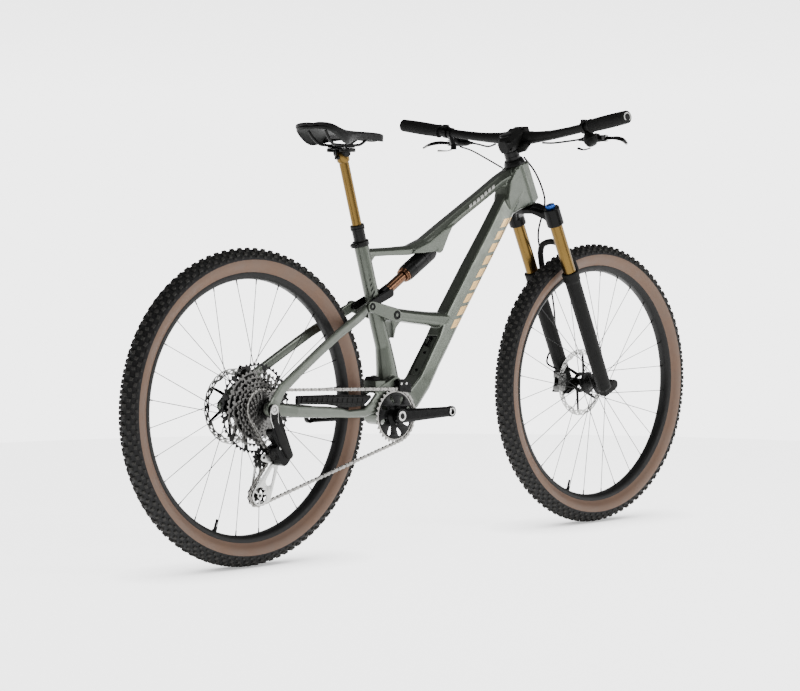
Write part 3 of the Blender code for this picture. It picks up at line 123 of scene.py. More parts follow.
CRANK_TIP = BOTTOM_BRACKET + polar(CRANK_LENGTH, CRANK_ANGLE)


# ---------------------------------------------------------------- materials


class Nodes:
    """A node tree, with short calls that add nodes to it."""

    def __init__(self, tree):
        self.nodes, self.links = tree.nodes, tree.links

    def feed(self, socket, value):
        """Links another node's output to a socket, or sets the socket to a plain value."""
        if isinstance(value, bpy.types.NodeSocket):
            self.links.new(value, socket)
        else:
            socket.default_value = value

    def node(self, kind, **inputs):
        new = self.nodes.new(kind)
        for name, value in inputs.items():
            self.feed(new.inputs[name.replace("_", " ")], value)
        return new

    def spread(self, value, low, high, to_low=0.0, to_high=1.0):
        """The value's range from low to high, moved to another range."""
        new = self.node("ShaderNodeMapRange", Value=value)
        for name, number in zip(RANGE_SOCKETS, (low, high, to_low, to_high)):
            new.inputs[name].default_value = number
        return new.outputs["Result"]

    def sum(self, first, second, operation="ADD"):
        new = self.nodes.new("ShaderNodeMath")
        new.operation = operation
        for socket, value in zip(new.inputs, (first, second)):
            self.feed(socket, value)
        return new.outputs["Value"]


class Look(Nodes):
    """A Principled material, with short calls for the textures that vary it."""

    def __init__(self, name, colour, roughness, metallic=0.0, **sockets):
        self.material = bpy.data.materials.new(name)
        self.material.use_nodes = True
        super().__init__(self.material.node_tree)
        self.shader = self.nodes["Principled BSDF"]
        self.set("Base Color", (*colour, 1))
        self.set("Roughness", roughness)
        self.set("Metallic", metallic)
        for socket, value in sockets.items():
            self.set(socket.replace("_", " "), value)
        self.height = None

    def set(self, socket, value):
        self.shader.inputs[socket].default_value = value

    def place(self, stretch=(1, 1, 1), turn=(0, 0, 0)):
        """Object coordinates in metres, turned and then stretched."""
        coordinates = self.node("ShaderNodeTexCoord").outputs["Object"]
        level = self.node("ShaderNodeMapping", Vector=coordinates, Rotation=turn).outputs["Vector"]
        return self.node("ShaderNodeMapping", Vector=level, Scale=stretch).outputs["Vector"]

    def noise(self, scale, detail=3.0, rough=0.55, **place):
        new = self.node("ShaderNodeTexNoise", Vector=self.place(**place), Scale=scale)
        new.inputs["Detail"].default_value = detail
        new.inputs["Roughness"].default_value = rough
        return new.outputs["Fac"]

    def cells(self, scale, feature="F1", **place):
        new = self.node("ShaderNodeTexVoronoi", Vector=self.place(**place), Scale=scale)
        new.feature = feature
        return new.outputs["Distance"]

    def tint(self, factor, first, second, target=True):
        """Mixes two colours by the factor and, when it is the target, makes that the colour."""
        new = self.nodes.new("ShaderNodeMix")
        new.data_type = "RGBA"
        self.links.new(factor, new.inputs[0])
        for socket, value in ((new.inputs[6], first), (new.inputs[7], second)):
            self.feed(socket, value if isinstance(value, bpy.types.NodeSocket) else (*value, 1))
        if target:
            self.links.new(new.outputs[2], self.shader.inputs["Base Color"])
        return new.outputs[2]

    def gloss(self, factor, low, high):
        """Roughness that follows the factor."""
        self.links.new(self.spread(factor, 0.3, 0.7, low, high), self.shader.inputs["Roughness"])

    def bump(self, height, strength, distance=0.0005):
        new = self.node("ShaderNodeBump", Height=height, Strength=strength, Distance=distance)
        if self.height is not None:
            self.links.new(self.height, new.inputs["Normal"])
        self.height = new.outputs["Normal"]
        self.links.new(self.height, self.shader.inputs["Normal"])
        return self

    def edge_wear(self, amount=0.5):
        """A mask of convex edges, broken up by noise."""
        pointy = self.node("ShaderNodeNewGeometry").outputs["Pointiness"]
        mask = self.spread(pointy, 0.52, 0.60, 0.0, amount)
        return self.sum(mask, self.noise(180, 4), "MULTIPLY")


def shade(colour, factor):
    return tuple(c * factor for c in colour)


def paint_look(name, colour, roughness=0.36):
    """Satin metallic paint: fine flake, a slow drift of tone and a soft clear coat."""
    look = Look(name, colour, roughness, 0.70, Coat_Weight=0.25, Coat_Roughness=0.22)
    flake = look.noise(2600, 2, 0.7)
    drift = look.noise(5.5, 3)
    base = look.tint(look.spread(flake, 0.35, 0.65), shade(colour, 0.86), shade(colour, 1.16), False)
    look.tint(look.spread(drift, 0.3, 0.7, 0.0, 0.28), base, shade(colour, 0.80))
    look.gloss(look.noise(45, 4), roughness - 0.05, roughness + 0.07)
    return look.bump(look.noise(900, 2), 0.05, 0.0002)


def alloy_look(name, colour, roughness=0.35, metallic=0.9, grain=(1, 1, 1), wear=0.35):
    """Anodised or bare alloy with fine drawn grain and brighter worn edges."""
    look = Look(name, colour, roughness, metallic, Specular_IOR_Level=0.14)
    grain_noise = look.noise(700, 4, stretch=grain)
    base = look.tint(grain_noise, shade(colour, 0.82), shade(colour, 1.18), False)
    worn = tuple(min(1.0, c * 1.5 + 0.02) for c in colour)
    look.tint(look.edge_wear(wear), base, worn)
    look.gloss(look.noise(60, 4), roughness - 0.07, roughness + 0.09)
    return look.bump(grain_noise, 0.08, 0.0002)


def moulded_look(name, colour, roughness=0.55, grain=1400, depth=0.25):
    """Moulded plastic or powder coat with an orange-peel grain."""
    look = Look(name, colour, roughness, Specular_IOR_Level=0.08)
    fine = look.noise(grain, 3)
    look.tint(look.noise(30, 4), shade(colour, 0.8), shade(colour, 1.25))
    look.gloss(look.noise(90, 4), roughness - 0.08, roughness + 0.1)
    return look.bump(fine, depth, 0.0003)


def gold_look(name, colour, axis_turn):
    """Gold anodising with the fine scores of a ground tube and a slow tone change along it."""
    look = Look(name, colour, 0.24, 1.0)
    scores = look.noise(900, 5, stretch=(1, 1, 0.015), turn=axis_turn)
    base = look.tint(scores, shade(colour, 0.78), shade(colour, 1.2), False)
    look.tint(look.spread(look.noise(9, 2), 0.35, 0.65, 0.0, 0.35), base, shade(colour, 0.6))
    look.gloss(scores, 0.19, 0.32)
    return look.bump(scores, 0.10, 0.0002)


def rubber_look(name, colour, roughness=0.72, scuff=(0.045, 0.043, 0.040)):
    """Tyre rubber: matte, with pale scuffed edges and a fine pebble."""
    look = Look(name, colour, roughness, Specular_IOR_Level=0.09)
    base = look.tint(look.noise(70, 5), shade(colour, 0.7), shade(colour, 1.4), False)
    look.tint(look.edge_wear(0.6), base, scuff)
    look.gloss(look.noise(200, 4), roughness - 0.08, roughness + 0.12)
    return look.bump(look.noise(1500, 4), 0.35, 0.0004)


def tan_wall_look():
    """Bare gum sidewall: threads under a thin skin, with darker mould marks."""
    colour = (0.088, 0.047, 0.027)
    look = Look("tan_wall", colour, 0.62, Specular_IOR_Level=0.4)
    blotch = look.noise(24, 5)
    threads = look.cells(900, stretch=(1, 0.4, 1))
    base = look.tint(blotch, shade(colour, 0.72), shade(colour, 1.28), False)
    look.tint(look.spread(threads, 0.0, 0.7, 0.0, 0.3), base, shade(colour, 0.55))
    look.gloss(blotch, 0.52, 0.70)
    return look.bump(threads, 0.22, 0.0003)


def rotor_look():
    """Stainless steel with the curved scores that pads leave."""
    look = Look("rotor_steel", (0.34, 0.34, 0.33), 0.30, 1.0)
    scores = look.noise(1200, 4, stretch=(1, 0.05, 1))
    look.tint(scores, (0.26, 0.26, 0.25), (0.42, 0.42, 0.41))
    look.gloss(scores, 0.18, 0.36)
    return look.bump(scores, 0.10, 0.0002)


def leather_look(name, colour, roughness=0.5):
    """Coated microfibre: a fine pebble grain and a soft sheen."""
    look = Look(name, colour, roughness, Specular_IOR_Level=0.12)
    pebble = look.cells(1500, "SMOOTH_F1")
    look.tint(look.noise(40, 4), shade(colour, 0.75), shade(colour, 1.3))
    look.gloss(look.noise(120, 3), roughness - 0.08, roughness + 0.1)
    look.bump(pebble, 0.05, 0.0002)
    return look.bump(look.noise(4000, 2), 0.1, 0.0002)


SAGE = (0.055, 0.063, 0.050)
LOOKS = {
    "paint": paint_look("frame_paint", SAGE),
    "satin_black": moulded_look("satin_black", (0.0042, 0.0042, 0.0040), 0.50, 1600, 0.12),
    "gloss_black": moulded_look("gloss_black", (0.0020, 0.0020, 0.0020), 0.24, 900, 0.05),
    "black_alloy": alloy_look("black_alloy", (0.0050, 0.0050, 0.0050), 0.36, 0.3, wear=0.12),
    "rim_black": alloy_look("rim_black", (0.0080, 0.0080, 0.0078), 0.46, 0.3, wear=0.10),
    "dark_steel": alloy_look("dark_steel", (0.045, 0.044, 0.042), 0.34, 0.9),
    "silver": alloy_look("silver_alloy", (0.36, 0.36, 0.35), 0.30, 1.0),
    "caliper_grey": alloy_look("caliper_grey", (0.12, 0.12, 0.117), 0.36, 0.8),
    "chain_steel": alloy_look("chain_steel", (0.20, 0.195, 0.185), 0.30, 1.0),
    "gold_fork": gold_look("gold_fork", (0.115, 0.071, 0.021), (0, math.pi / 2 - HEAD_ANGLE, 0)),
    "gold_post": gold_look("gold_post", (0.115, 0.071, 0.021), (0, math.pi / 2 - SEAT_ANGLE, 0)),
    "bronze": gold_look("bronze", (0.11, 0.056, 0.032), (0, SHOCK_ANGLE - math.pi / 2, 0)),
    "rubber": rubber_look("tread_rubber", (0.0100, 0.0098, 0.0094)),
    "wall_rubber": rubber_look("wall_rubber", (0.010, 0.010, 0.010), 0.6),
    "grip_rubber": rubber_look("grip_rubber", (0.0050, 0.0050, 0.0048), 0.66, (0.02, 0.02, 0.02)),
    "tan": tan_wall_look(),
    "cog_steel": alloy_look("cog_steel", (0.085, 0.083, 0.080), 0.34, 0.95),
    "rotor": rotor_look(),
    "spoke": alloy_look("spoke_steel", (0.006, 0.006, 0.006), 0.45, 0.3, wear=0.1),
    "hose": moulded_look("hose_jacket", (0.0045, 0.0045, 0.0045), 0.4, 2500, 0.3),
    "blue": alloy_look("blue_anodised", (0.02, 0.075, 0.30), 0.3, 0.9),
    "red": alloy_look("red_anodised", (0.36, 0.012, 0.02), 0.3, 0.9),
    "leather": leather_look("saddle_cover", (0.0020, 0.0020, 0.0021)),
    "grey_panel": leather_look("saddle_panel", (0.0090, 0.0094, 0.0090), 0.45),
    "decal": paint_look("decal_gold", (0.46, 0.29, 0.11), 0.42),
    "pale": moulded_look("pale_print", (0.36, 0.36, 0.34), 0.5),
}


# ---------------------------------------------------------------- shapes


def linked(name, data):
    """A new object in the scene."""
    obj = bpy.data.objects.new(name, data)
    bpy.context.scene.collection.objects.link(obj)
    return obj


def add_piece(name, mesh, looks, body, nodes=(), sharp=35.0):
    """A finished piece that rides on a body and stands for CAD nodes."""
    obj = linked(name, mesh)
    for look in looks if isinstance(looks, (list, tuple)) else [looks]:
        mesh.materials.append(LOOKS[look].material)
    mesh.shade_smooth()
    mesh.set_sharp_from_angle(angle=math.radians(sharp))
    if body:
        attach(obj, body)
    if nodes:
        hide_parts(*nodes)
    return obj


def grid_mesh(name, rows, close_rows=False, close_columns=False, cap=False):
    """A mesh from rows of points that all have the same length."""
    rows = [list(row) for row in rows]
    width, count = len(rows[0]), len(rows)
    points = [tuple(p) for row in rows for p in row]
    faces = []
    for i in range(count if close_rows else count - 1):
        j = (i + 1) % count
        for k in range(width if close_columns else width - 1):
            n = (k + 1) % width
            faces.append((i * width + k, j * width + k, j * width + n, i * width + n))
    if cap:
        faces.append(tuple(range(width)))
        faces.append(tuple(reversed(range((count - 1) * width, count * width))))
    mesh = bpy.data.meshes.new(name)
    mesh.from_pydata(points, [], faces)
    return face_out(mesh)


def face_out(mesh):
    bm = bmesh.new()
    bm.from_mesh(mesh)
    bmesh.ops.recalc_face_normals(bm, faces=bm.faces)
    bm.to_mesh(mesh)
    bm.free()
    return mesh


def basis(axis):
    """Two unit vectors square to an axis."""
    axis = Vector(axis).normalized()
    helper = Y if abs(axis.dot(Y)) < 0.9 else X
    first = axis.cross(helper).normalized()
    return axis, first, axis.cross(first)


def ring(centre, first, second, radius, sides):
    angles = [2 * math.pi * k / sides for k in range(sides)]
    return [centre + first * (radius * math.cos(a)) + second * (radius * math.sin(a)) for a in angles]


def turned(name, profile, centre, axis=Y, sides=64, closed=False):
    """A turned shape from (radius, distance along the axis) points. An open profile gets flat ends."""
    axis, first, second = basis(axis)
    centre = Vector(centre)
    rows = [ring(centre + axis * t, first, second, max(r, 1e-5), sides) for r, t in profile]
    return grid_mesh(name, rows, close_rows=closed, close_columns=True, cap=not closed)


def rod(name, start, end, radius, end_radius=None, sides=32, edge=0.0006):
    """A round bar between two points with small chamfers at its ends."""
    start, end = Vector(start), Vector(end)
    length = (end - start).length
    other = radius if end_radius is None else end_radius
    edge = min(edge, radius * 0.5, other * 0.5, length * 0.3)
    profile = [(radius - edge, 0), (radius, edge), (other, length - edge), (other - edge, length)]
    return turned(name, profile, start, end - start, sides)


def between(a, b, c, d, t):
    """A Catmull-Rom curve's value from b to c."""
    return 0.5 * (2 * b + (c - a) * t + (2 * a - 5 * b + 4 * c - d) * t**2 + (3 * b - a - 3 * c + d) * t**3)


def smooth_path(points, per_span=8):
    """A Catmull-Rom curve through the points."""
    points = [Vector(p) for p in points]
    ends = [2 * points[0] - points[1], *points, 2 * points[-1] - points[-2]]
    path = []
    for four in zip(ends, ends[1:], ends[2:], ends[3:]):
        path += [between(*four, k / per_span) for k in range(per_span)]
    return [*path, points[-1]]


def swept(name, path, radii, sides=12, flatten=None):
    """A tube along a path. The radii are one number or one for each point.

    flatten is (direction, factor): the section is scaled by the factor along that direction.
    """
    path = [Vector(p) for p in path]
    if not isinstance(radii, (list, tuple)):
        radii = [radii] * len(path)
    rows, first = [], None
    for i, (point, radius) in enumerate(zip(path, radii)):
        axis = (path[min(i + 1, len(path) - 1)] - path[max(i - 1, 0)]).normalized()
        if first is None:
            first = basis(axis)[1]
        first = (first - axis * first.dot(axis)).normalized()
        row = ring(Vector((0, 0, 0)), first, axis.cross(first), radius, sides)
        if flatten:
            way = Vector(flatten[0]).normalized()
            row = [p + way * (p.dot(way) * (flatten[1] - 1)) for p in row]
        rows.append([point + p for p in row])
    return grid_mesh(name, rows, close_columns=True, cap=True)


def spaced(values, count):
    """A list of numbers stretched to another length."""
    grid = np.linspace(0, len(values) - 1, count)
    return list(np.interp(grid, range(len(values)), values))


def plate(name, outline, holes, y_low, y_high, bevel=0.0004):
    """A flat shape in the XZ plane with rounded edges, from an outline and holes of (x, z) points."""
    curve = bpy.data.curves.new(name, "CURVE")
    curve.dimensions = "2D"
    curve.fill_mode = "BOTH"
    curve.extrude = (y_high - y_low) / 2 - bevel
    curve.bevel_depth = bevel
    curve.bevel_resolution = 1
    curve.offset = -bevel
    for loop in [outline, *holes]:
        spline = curve.splines.new("POLY")
        spline.points.add(len(loop) - 1)
        for point, (x, z) in zip(spline.points, loop):
            point.co = (x, z, 0, 1)
        spline.use_cyclic_u = True
    guide = linked(name, curve)
    evaluated = guide.evaluated_get(bpy.context.evaluated_depsgraph_get())
    mesh = bpy.data.meshes.new_from_object(evaluated)
    bpy.data.objects.remove(guide)
    mesh.transform(Matrix.Translation((0, (y_low + y_high) / 2, 0)) @ Matrix.Rotation(math.pi / 2, 4, "X"))
    bm = bmesh.new()
    bm.from_mesh(mesh)
    bmesh.ops.remove_doubles(bm, verts=bm.verts, dist=1e-6)
    bmesh.ops.recalc_face_normals(bm, faces=bm.faces)
    bm.to_mesh(mesh)
    bm.free()
    mesh.materials.clear()
    return mesh


def spot_at(centre, radius, angle):
    """The (x, z) pair at an angle round a centre given as a vector."""
    return centre.x + radius * math.cos(angle), centre.z + radius * math.sin(angle)


def circle(centre, radius, sides=32):
    return [spot_at(centre, radius, 2 * math.pi * k / sides) for k in range(sides)]


def arc(centre, radius, start, end, steps=8):
    return [spot_at(centre, radius, start + (end - start) * k / steps) for k in range(steps + 1)]


def hull(*circles_in, steps=20):
    """The outline round some (centre, radius) circles."""
    points = [p for centre, radius in circles_in for p in circle(centre, radius, steps)]
    points = sorted(set((round(x, 7), round(z, 7)) for x, z in points))

    def half(ordered):
        chain = []
        for p in ordered:
            while len(chain) > 1:
                (ax, az), (bx, bz) = chain[-2], chain[-1]
                if (bx - ax) * (p[1] - az) - (bz - az) * (p[0] - ax) > 1e-12:
                    break
                chain.pop()
            chain.append(p)
        return chain[:-1]

    return half(points) + half(points[::-1])


def merged(name, meshes):
    """One mesh of several, all with the same materials."""
    bm = bmesh.new()
    for mesh in meshes:
        bm.from_mesh(mesh)
        bpy.data.meshes.remove(mesh)
    new = bpy.data.meshes.new(name)
    bm.to_mesh(new)
    bm.free()
    return new


def copies(name, mesh, matrices):
    """The mesh repeated at each matrix, as one mesh."""
    count = len(mesh.vertices)
    base = np.empty(count * 3)
    mesh.vertices.foreach_get("co", base)
    base = np.c_[base.reshape(-1, 3), np.ones(count)]
    faces = [tuple(p.vertices) for p in mesh.polygons]
    points = np.vstack([(base @ np.array(m).T)[:, :3] for m in matrices])
    repeated = [tuple(v + count * i for v in face) for i in range(len(matrices)) for face in faces]
    new = bpy.data.meshes.new(name)
    new.from_pydata(points.tolist(), [], repeated)
    bpy.data.meshes.remove(mesh)
    return new


def rounded_block(name, low, high, bevel, place=None, segments=2, taper=1.0):
    """A box with rounded edges. The taper scales its top."""
    bm = bmesh.new()
    bmesh.ops.create_cube(bm, size=1.0)
    low, high = Vector(low), Vector(high)
    for v in bm.verts:
        scale = taper if v.co.z > 0 else 1.0
        x = (low.x + high.x) / 2 + v.co.x * (high.x - low.x) * scale
        y = (low.y + high.y) / 2 + v.co.y * (high.y - low.y) * scale
        z = (low.z + high.z) / 2 + v.co.z * (high.z - low.z)
        v.co = (x, y, z)
    bmesh.ops.bevel(bm, geom=bm.edges[:], offset=bevel, segments=segments, affect="EDGES", profile=0.5)
    if place is not None:
        bm.transform(place)
    mesh = bpy.data.meshes.new(name)
    bm.to_mesh(mesh)
    bm.free()
    return mesh


def evened(obj, voxel, rounds):
    """The object's shape as an evenly divided mesh with softened edges. The object is removed."""
    remesh = obj.modifiers.new("even", "REMESH")
    remesh.mode = "VOXEL"
    remesh.voxel_size = voxel
    soften = obj.modifiers.new("soften", "SMOOTH")
    soften.factor = 0.5
    soften.iterations = rounds
    mesh = bpy.data.meshes.new_from_object(obj.evaluated_get(bpy.context.evaluated_depsgraph_get()))
    bpy.data.objects.remove(obj)
    mesh.materials.clear()
    return mesh


def soft_copy(name, node, voxel, rounds, look, body):
    """A CAD node's shape as a fine even mesh with softened edges."""
    obj = NODES[node].copy()
    obj.data = NODES[node].data.copy()
    obj.name = name
    for key in list(obj.keys()):
        del obj[key]
    bpy.context.scene.collection.objects.link(obj)
    obj.parent = None
    return add_piece(name, evened(obj, voxel, rounds), look, body, (node,), sharp=60)


# ---------------------------------------------------------------- wheels

SECTION_R = 0.3405  # the centre of the tyre's round section, from the axle
TREAD_R = 0.0315  # the tread blocks' tops, from that centre
CASING_R = 0.0274
TAN_LOW, TAN_HIGH = 0.3165, 0.3440
BLOCK_COUNT = 96
SPOKE_COUNT = 28
SPOKE_CROSSINGS = 3
SPIDER_ARMS = 6


def wheel_turn(axle, angle):
    """The matrix that takes +Z at the axle to a direction round the wheel."""
    return Matrix.Translation(axle) @ Matrix.Rotation(angle, 4, "Y")


def make_tyre(label, axle, body):
    """Casing with a bare gum band on each side and a tread of separate blocks."""
    bead_r, bead_y = 0.3130, 0.0150
    start = math.radians(128)
    half = []
    for k in range(15):
        a = start * k / 14
        half.append((SECTION_R + CASING_R * math.cos(a), CASING_R * math.sin(a)))
    half += [(0.3190, 0.0180), (bead_r + 0.0012, 0.0158), (bead_r, bead_y)]
    profile = half[::-1] + [(r, -y) for r, y in half[1:]]
    inner = [(r - 0.0012 if r > SECTION_R else r + 0.0008, y * 0.95) for r, y in profile[::-1]]
    mesh = turned(label + "_casing", profile + inner, axle, sides=128, closed=True)
    add_piece(label + "_casing", mesh, ["wall_rubber", "tan"], body, (label,), 50)
    for face in mesh.polygons:
        r = (Vector((face.center.x, 0, face.center.z)) - axle).length
        face.material_index = 1 if TAN_LOW < r < TAN_HIGH and abs(face.center.y) > 0.012 else 0
    blocks = []
    rows = (
        (9, 0.0, 0.0094, 0.0082, 0.0046),
        (31, 0.5, 0.0084, 0.0086, 0.0045),
        (52, 0.0, 0.0104, 0.0076, 0.0048),
        (69, 0.5, 0.0080, 0.0052, 0.0036),
    )
    for degrees, shift, length, width, height in rows:
        for way in (-1, 1):
            lean = math.radians(degrees) * way
            block = rounded_block(
                "block",
                (-length / 2, -width / 2, CASING_R - 0.0010),
                (length / 2, width / 2, TREAD_R + height - 0.0046),
                0.0007,
                segments=1,
                taper=0.86,
            )
            up = Matrix.Translation((0, 0, SECTION_R)) @ Matrix.Rotation(-lean, 4, "X")
            places = []
            stagger = shift + (0.25 if way > 0 else 0.0)
            for k in range(BLOCK_COUNT):
                skew = Matrix.Rotation(math.radians(10 * way * (1 if k % 2 else -1)), 4, "Z")
                places.append(wheel_turn(axle, 2 * math.pi * (k + stagger) / BLOCK_COUNT) @ up @ skew)
            blocks.append(copies("block_row", block, places))
    add_piece(label + "_tread", merged(label + "_tread", blocks), "rubber", body, sharp=30)


def make_rim(label, axle, body):
    """A deep rim with hooked edges, a well, a rounded belly and a valve."""
    half = [
        (0.3145, 0.0150), (0.3150, 0.0163), (0.3135, 0.0170), (0.3095, 0.0166), (0.3050, 0.0150),
        (0.3010, 0.0118), (0.2992, 0.0085), (0.2984, 0.0040),
    ]
    well = [(0.3095, 0.0146), (0.3078, 0.0125), (0.3060, 0.0060)]
    profile = half + [(r, -y) for r, y in reversed(half)]
    profile += [(r, -y) for r, y in well] + [(r, y) for r, y in reversed(well)]
    mesh = turned(label, profile, axle, sides=160, closed=True)
    add_piece(label + "_band", mesh, "rim_black", body, (label,), 50)
    valve_at = wheel_turn(axle, math.radians(200))
    low, nut_low, high = (valve_at @ Vector((0, 0, up)) for up in (0.2700, 0.2945, 0.3000))
    valve = [rod("valve", low, high, 0.0030, sides=12), rod("valve_nut", nut_low, high, 0.0055, sides=12)]
    add_piece(label + "_valve", merged("valve", valve), "black_alloy", body)


def make_spokes(label, axle, body, right, left):
    """Crossed spokes with bent heads at the hub and nipples at the rim."""
    wires, nipples = [], []
    per_flange = SPOKE_COUNT // 2
    lean = SPOKE_CROSSINGS * 2 * math.pi / per_flange
    for k in range(SPOKE_COUNT):
        on_left = k % 2 == 0
        leading = (k // 2) % 2 == 0
        rim_angle = 2 * math.pi * (k + 0.5) / SPOKE_COUNT
        hub_angle = rim_angle + (lean if leading else -lean)
        flange_y = left if on_left else right
        hub_y = flange_y + (0.0026 if leading else -0.0026)
        inner = axle + polar(0.0268, hub_angle, hub_y)
        outer = axle + polar(0.2990, rim_angle, 0.0025 if on_left else -0.0025)
        way = (outer - inner).normalized()
        head = axle + polar(0.0262, hub_angle, flange_y - (0.0034 if leading else -0.0034))
        path = [head, axle + polar(0.0262, hub_angle, flange_y), inner + way * 0.004, outer]
        wires.append(swept("spoke", path, [0.0010, 0.0010, 0.0010, 0.0009], 6))
        nipples.append(swept("nipple", [outer - way * 0.0120, outer], [0.0015, 0.0019], 6))
    add_piece(label + "_wires", merged("wires", wires), "spoke", body, (label,))
    add_piece(label + "_nipples", merged("nipples", nipples), "black_alloy", body)


def make_hub(label, axle, body, right, left, ends):
    """A turned shell with two flanges and narrower ends."""
    shell = [
        (0.0068, ends[1]), (0.0098, ends[1]), (0.0104, ends[1] - 0.0008), (0.0104, left + 0.0150),
        (0.0140, left + 0.0120), (0.0152, left + 0.0060), (0.0200, left + 0.0022),
        (0.0286, left + 0.0018), (0.0292, left + 0.0008), (0.0292, left - 0.0008),
        (0.0286, left - 0.0018), (0.0215, left - 0.0022), (0.0168, left - 0.0065),
        (0.0138, left - 0.0120), (0.0138, right + 0.0120), (0.0168, right + 0.0065),
        (0.0215, right + 0.0022), (0.0286, right + 0.0018), (0.0292, right + 0.0008),
        (0.0292, right - 0.0008), (0.0286, right - 0.0018), (0.0180, right - 0.0024),
        (0.0150, right - 0.0040), (0.0104, right - 0.0050), (0.0104, ends[0] + 0.0008),
        (0.0098, ends[0]), (0.0068, ends[0]),
    ]
    mesh = turned(label, shell, axle, sides=56, closed=True)
    add_piece(label + "_shell", mesh, "black_alloy", body, (label,), 40)


def make_rotor(label, axle, body, y):
    """A braking band with leaning slots and a scalloped rim, on a black six-armed spider."""
    waves, outer_r, inner_r = 24, 0.0894, 0.0762
    outline = []
    for k in range(waves * 8):
        a = 2 * math.pi * k / (waves * 8)
        r = outer_r - 0.0007 * (1 + math.cos(waves * a)) / 2
        outline.append(spot_at(axle, r, a))
    inside = []
    for k in range(12 * 10):
        a = 2 * math.pi * k / (12 * 10)
        r = inner_r - 0.0032 * max(0.0, math.cos(12 * a)) ** 0.7
        inside.append(spot_at(axle, r, a))
    slots = []
    for k in range(waves):
        a = 2 * math.pi * (k + 0.5) / waves
        for r, shift, size in ((0.0845, 0.035, 0.0017), (0.0802, -0.035, 0.0017)):
            low, high = axle + polar(r, a + shift), axle + polar(r + 0.001, a + shift - 0.06)
            slots.append(hull((low, size), (high, size), steps=8))
    band = plate(label, outline, [inside, *slots], y - 0.0009, y + 0.0009, 0.0002)
    add_piece(label + "_band", band, "rotor", body, (label,), 40)
    arms = []
    for k in range(SPIDER_ARMS):
        a = math.radians(60 * k + 15)
        foot, tip = axle + polar(0.0240, a - 0.30), axle + polar(0.0745, a + 0.14)
        arms.append(plate("arm", hull((foot, 0.0046), (tip, 0.0030), steps=10), [], y - 0.0013, y + 0.0013))
    ring_holes = [circle(axle, 0.0172, 40)]
    for k in range(SPIDER_ARMS):
        spot = axle + polar(0.0222, k * math.pi / 3)
        arms.append(rod("bolt", spot + Y * (y - 0.0030), spot + Y * (y + 0.0030), 0.0034, sides=12))
    arms.append(plate("hub_ring", circle(axle, 0.0275, 48), ring_holes, y - 0.0015, y + 0.0015))
    add_piece(label + "_spider", merged("spider", arms), "gloss_black", body)
    rivets = []
    for k in range(SPIDER_ARMS):
        a = math.radians(60 * k + 15) + 0.14
        spot = axle + polar(0.0742, a)
        rivets.append(rod("rivet", spot - Y * 0.0013 + Y * y, spot + Y * 0.0013 + Y * y, 0.0028, sides=14))
    add_piece(label + "_rivets", merged("rivets", rivets), "silver", body)


def make_wheel(label, axle, body, right, left, ends, rotor_y):
    make_tyre(label + "_tyre", axle, body)
    make_rim(label + "_rim", axle, body)
    make_spokes(label + "_spokes", axle, body, right, left)
    make_hub(label + "_hub", axle, body, right, left, ends)
    make_rotor(label + "_rotor", axle, body, rotor_y)


# ---------------------------------------------------------------- drive

COGS = (
    (10, -0.0668),
    (12, -0.0635),
    (14, -0.0601),
    (16, -0.0567),
    (18, -0.0532),
    (21, -0.0495),
    (24, -0.0459),
    (28, -0.0425),
    (32, -0.0391),
    (38, -0.0357),
    (44, -0.0324),
    (52, -0.0291),
)


def toothed(centre, teeth, root, tip, phase=0.0, wide=0.5):
    """A sprocket's outline: a round valley and a blunt tooth for each pitch."""
    points = []
    step = 2 * math.pi / teeth
    middle = (root + tip) / 2
    for k in range(teeth):
        a = phase + k * step
        for part, radius in (
            (0.00, root),
            (0.14, root + (middle - root) * 0.25),
            (0.26, middle),
            (0.50 - wide * 0.18, tip),
            (0.50 + wide * 0.18, tip),
            (0.74, middle),
            (0.86, root + (middle - root) * 0.25),
        ):
            points.append(spot_at(centre, radius, a + part * step))
    return points


def windows(centre, inner, outer, count, gap, shift=0.0, twist=0.0):
    """Curved four-sided openings between two radii."""
    found = []
    for k in range(count):
        start = 2 * math.pi * k / count + shift + gap / 2
        end = 2 * math.pi * (k + 1) / count + shift - gap / 2
        out = arc(centre, outer, end + twist, start + twist, 4)
        found.append(out + arc(centre, inner, start, end, 4))
    return found


def make_cassette():
    """Twelve separate cogs, the large ones cut out between their teeth and carrier."""
    steel, dark = [], []
    chain_clear = 0.0004
    for i, (teeth, y) in enumerate(COGS):
        pitch = pitch_radius(teeth)
        tip = pitch + (0.0012 if teeth != COG_TEETH else 0.0022)
        root = pitch - 0.0040
        holes = [circle(REAR_AXLE, 0.0165, 32)]
        if teeth >= 24:
            smaller = pitch_radius(COGS[i - 2][0])
            inner = max(0.0210, smaller - 0.0060)
            outer = root - 0.0028
            if outer - inner > 0.004:
                holes += windows(REAR_AXLE, inner, outer, 12, 0.13, 0.2 * i, 0.12)
        outline = toothed(REAR_AXLE, teeth, root, tip, 0.37 * i)
        cog = plate("cog", outline, holes, y - 0.0009, y + 0.0009 - chain_clear, 0.0002)
        (dark if teeth in (52, 10, 12) else steel).append(cog)
    add_piece("cassette_cogs", merged("cogs", steel), "cog_steel", "cassette", ("cassette",),
              30)
    add_piece("cassette_ends", merged("ends", dark), "rim_black", "cassette", sharp=30)
    core = turned("core", [(0.0212, -0.0285), (0.0206, -0.0640)], REAR_AXLE, sides=40)
    lock = [(0.0120, -0.0662), (0.0150, -0.0672), (0.0150, -0.0640)]
    posts = [core, turned("lock_ring", lock, REAR_AXLE, sides=36)]
    for k in range(12):
        a = math.radians(30 * k)
        for low, high, radius in ((-0.0290, -0.0390, 0.0480), (-0.0360, -0.0460, 0.0385)):
            spot = REAR_AXLE + polar(radius, a)
            posts.append(rod("pin", spot + Y * low, spot + Y * high, 0.0016, sides=8))
    add_piece("cassette_core", merged("core", posts), "black_alloy", "cassette")


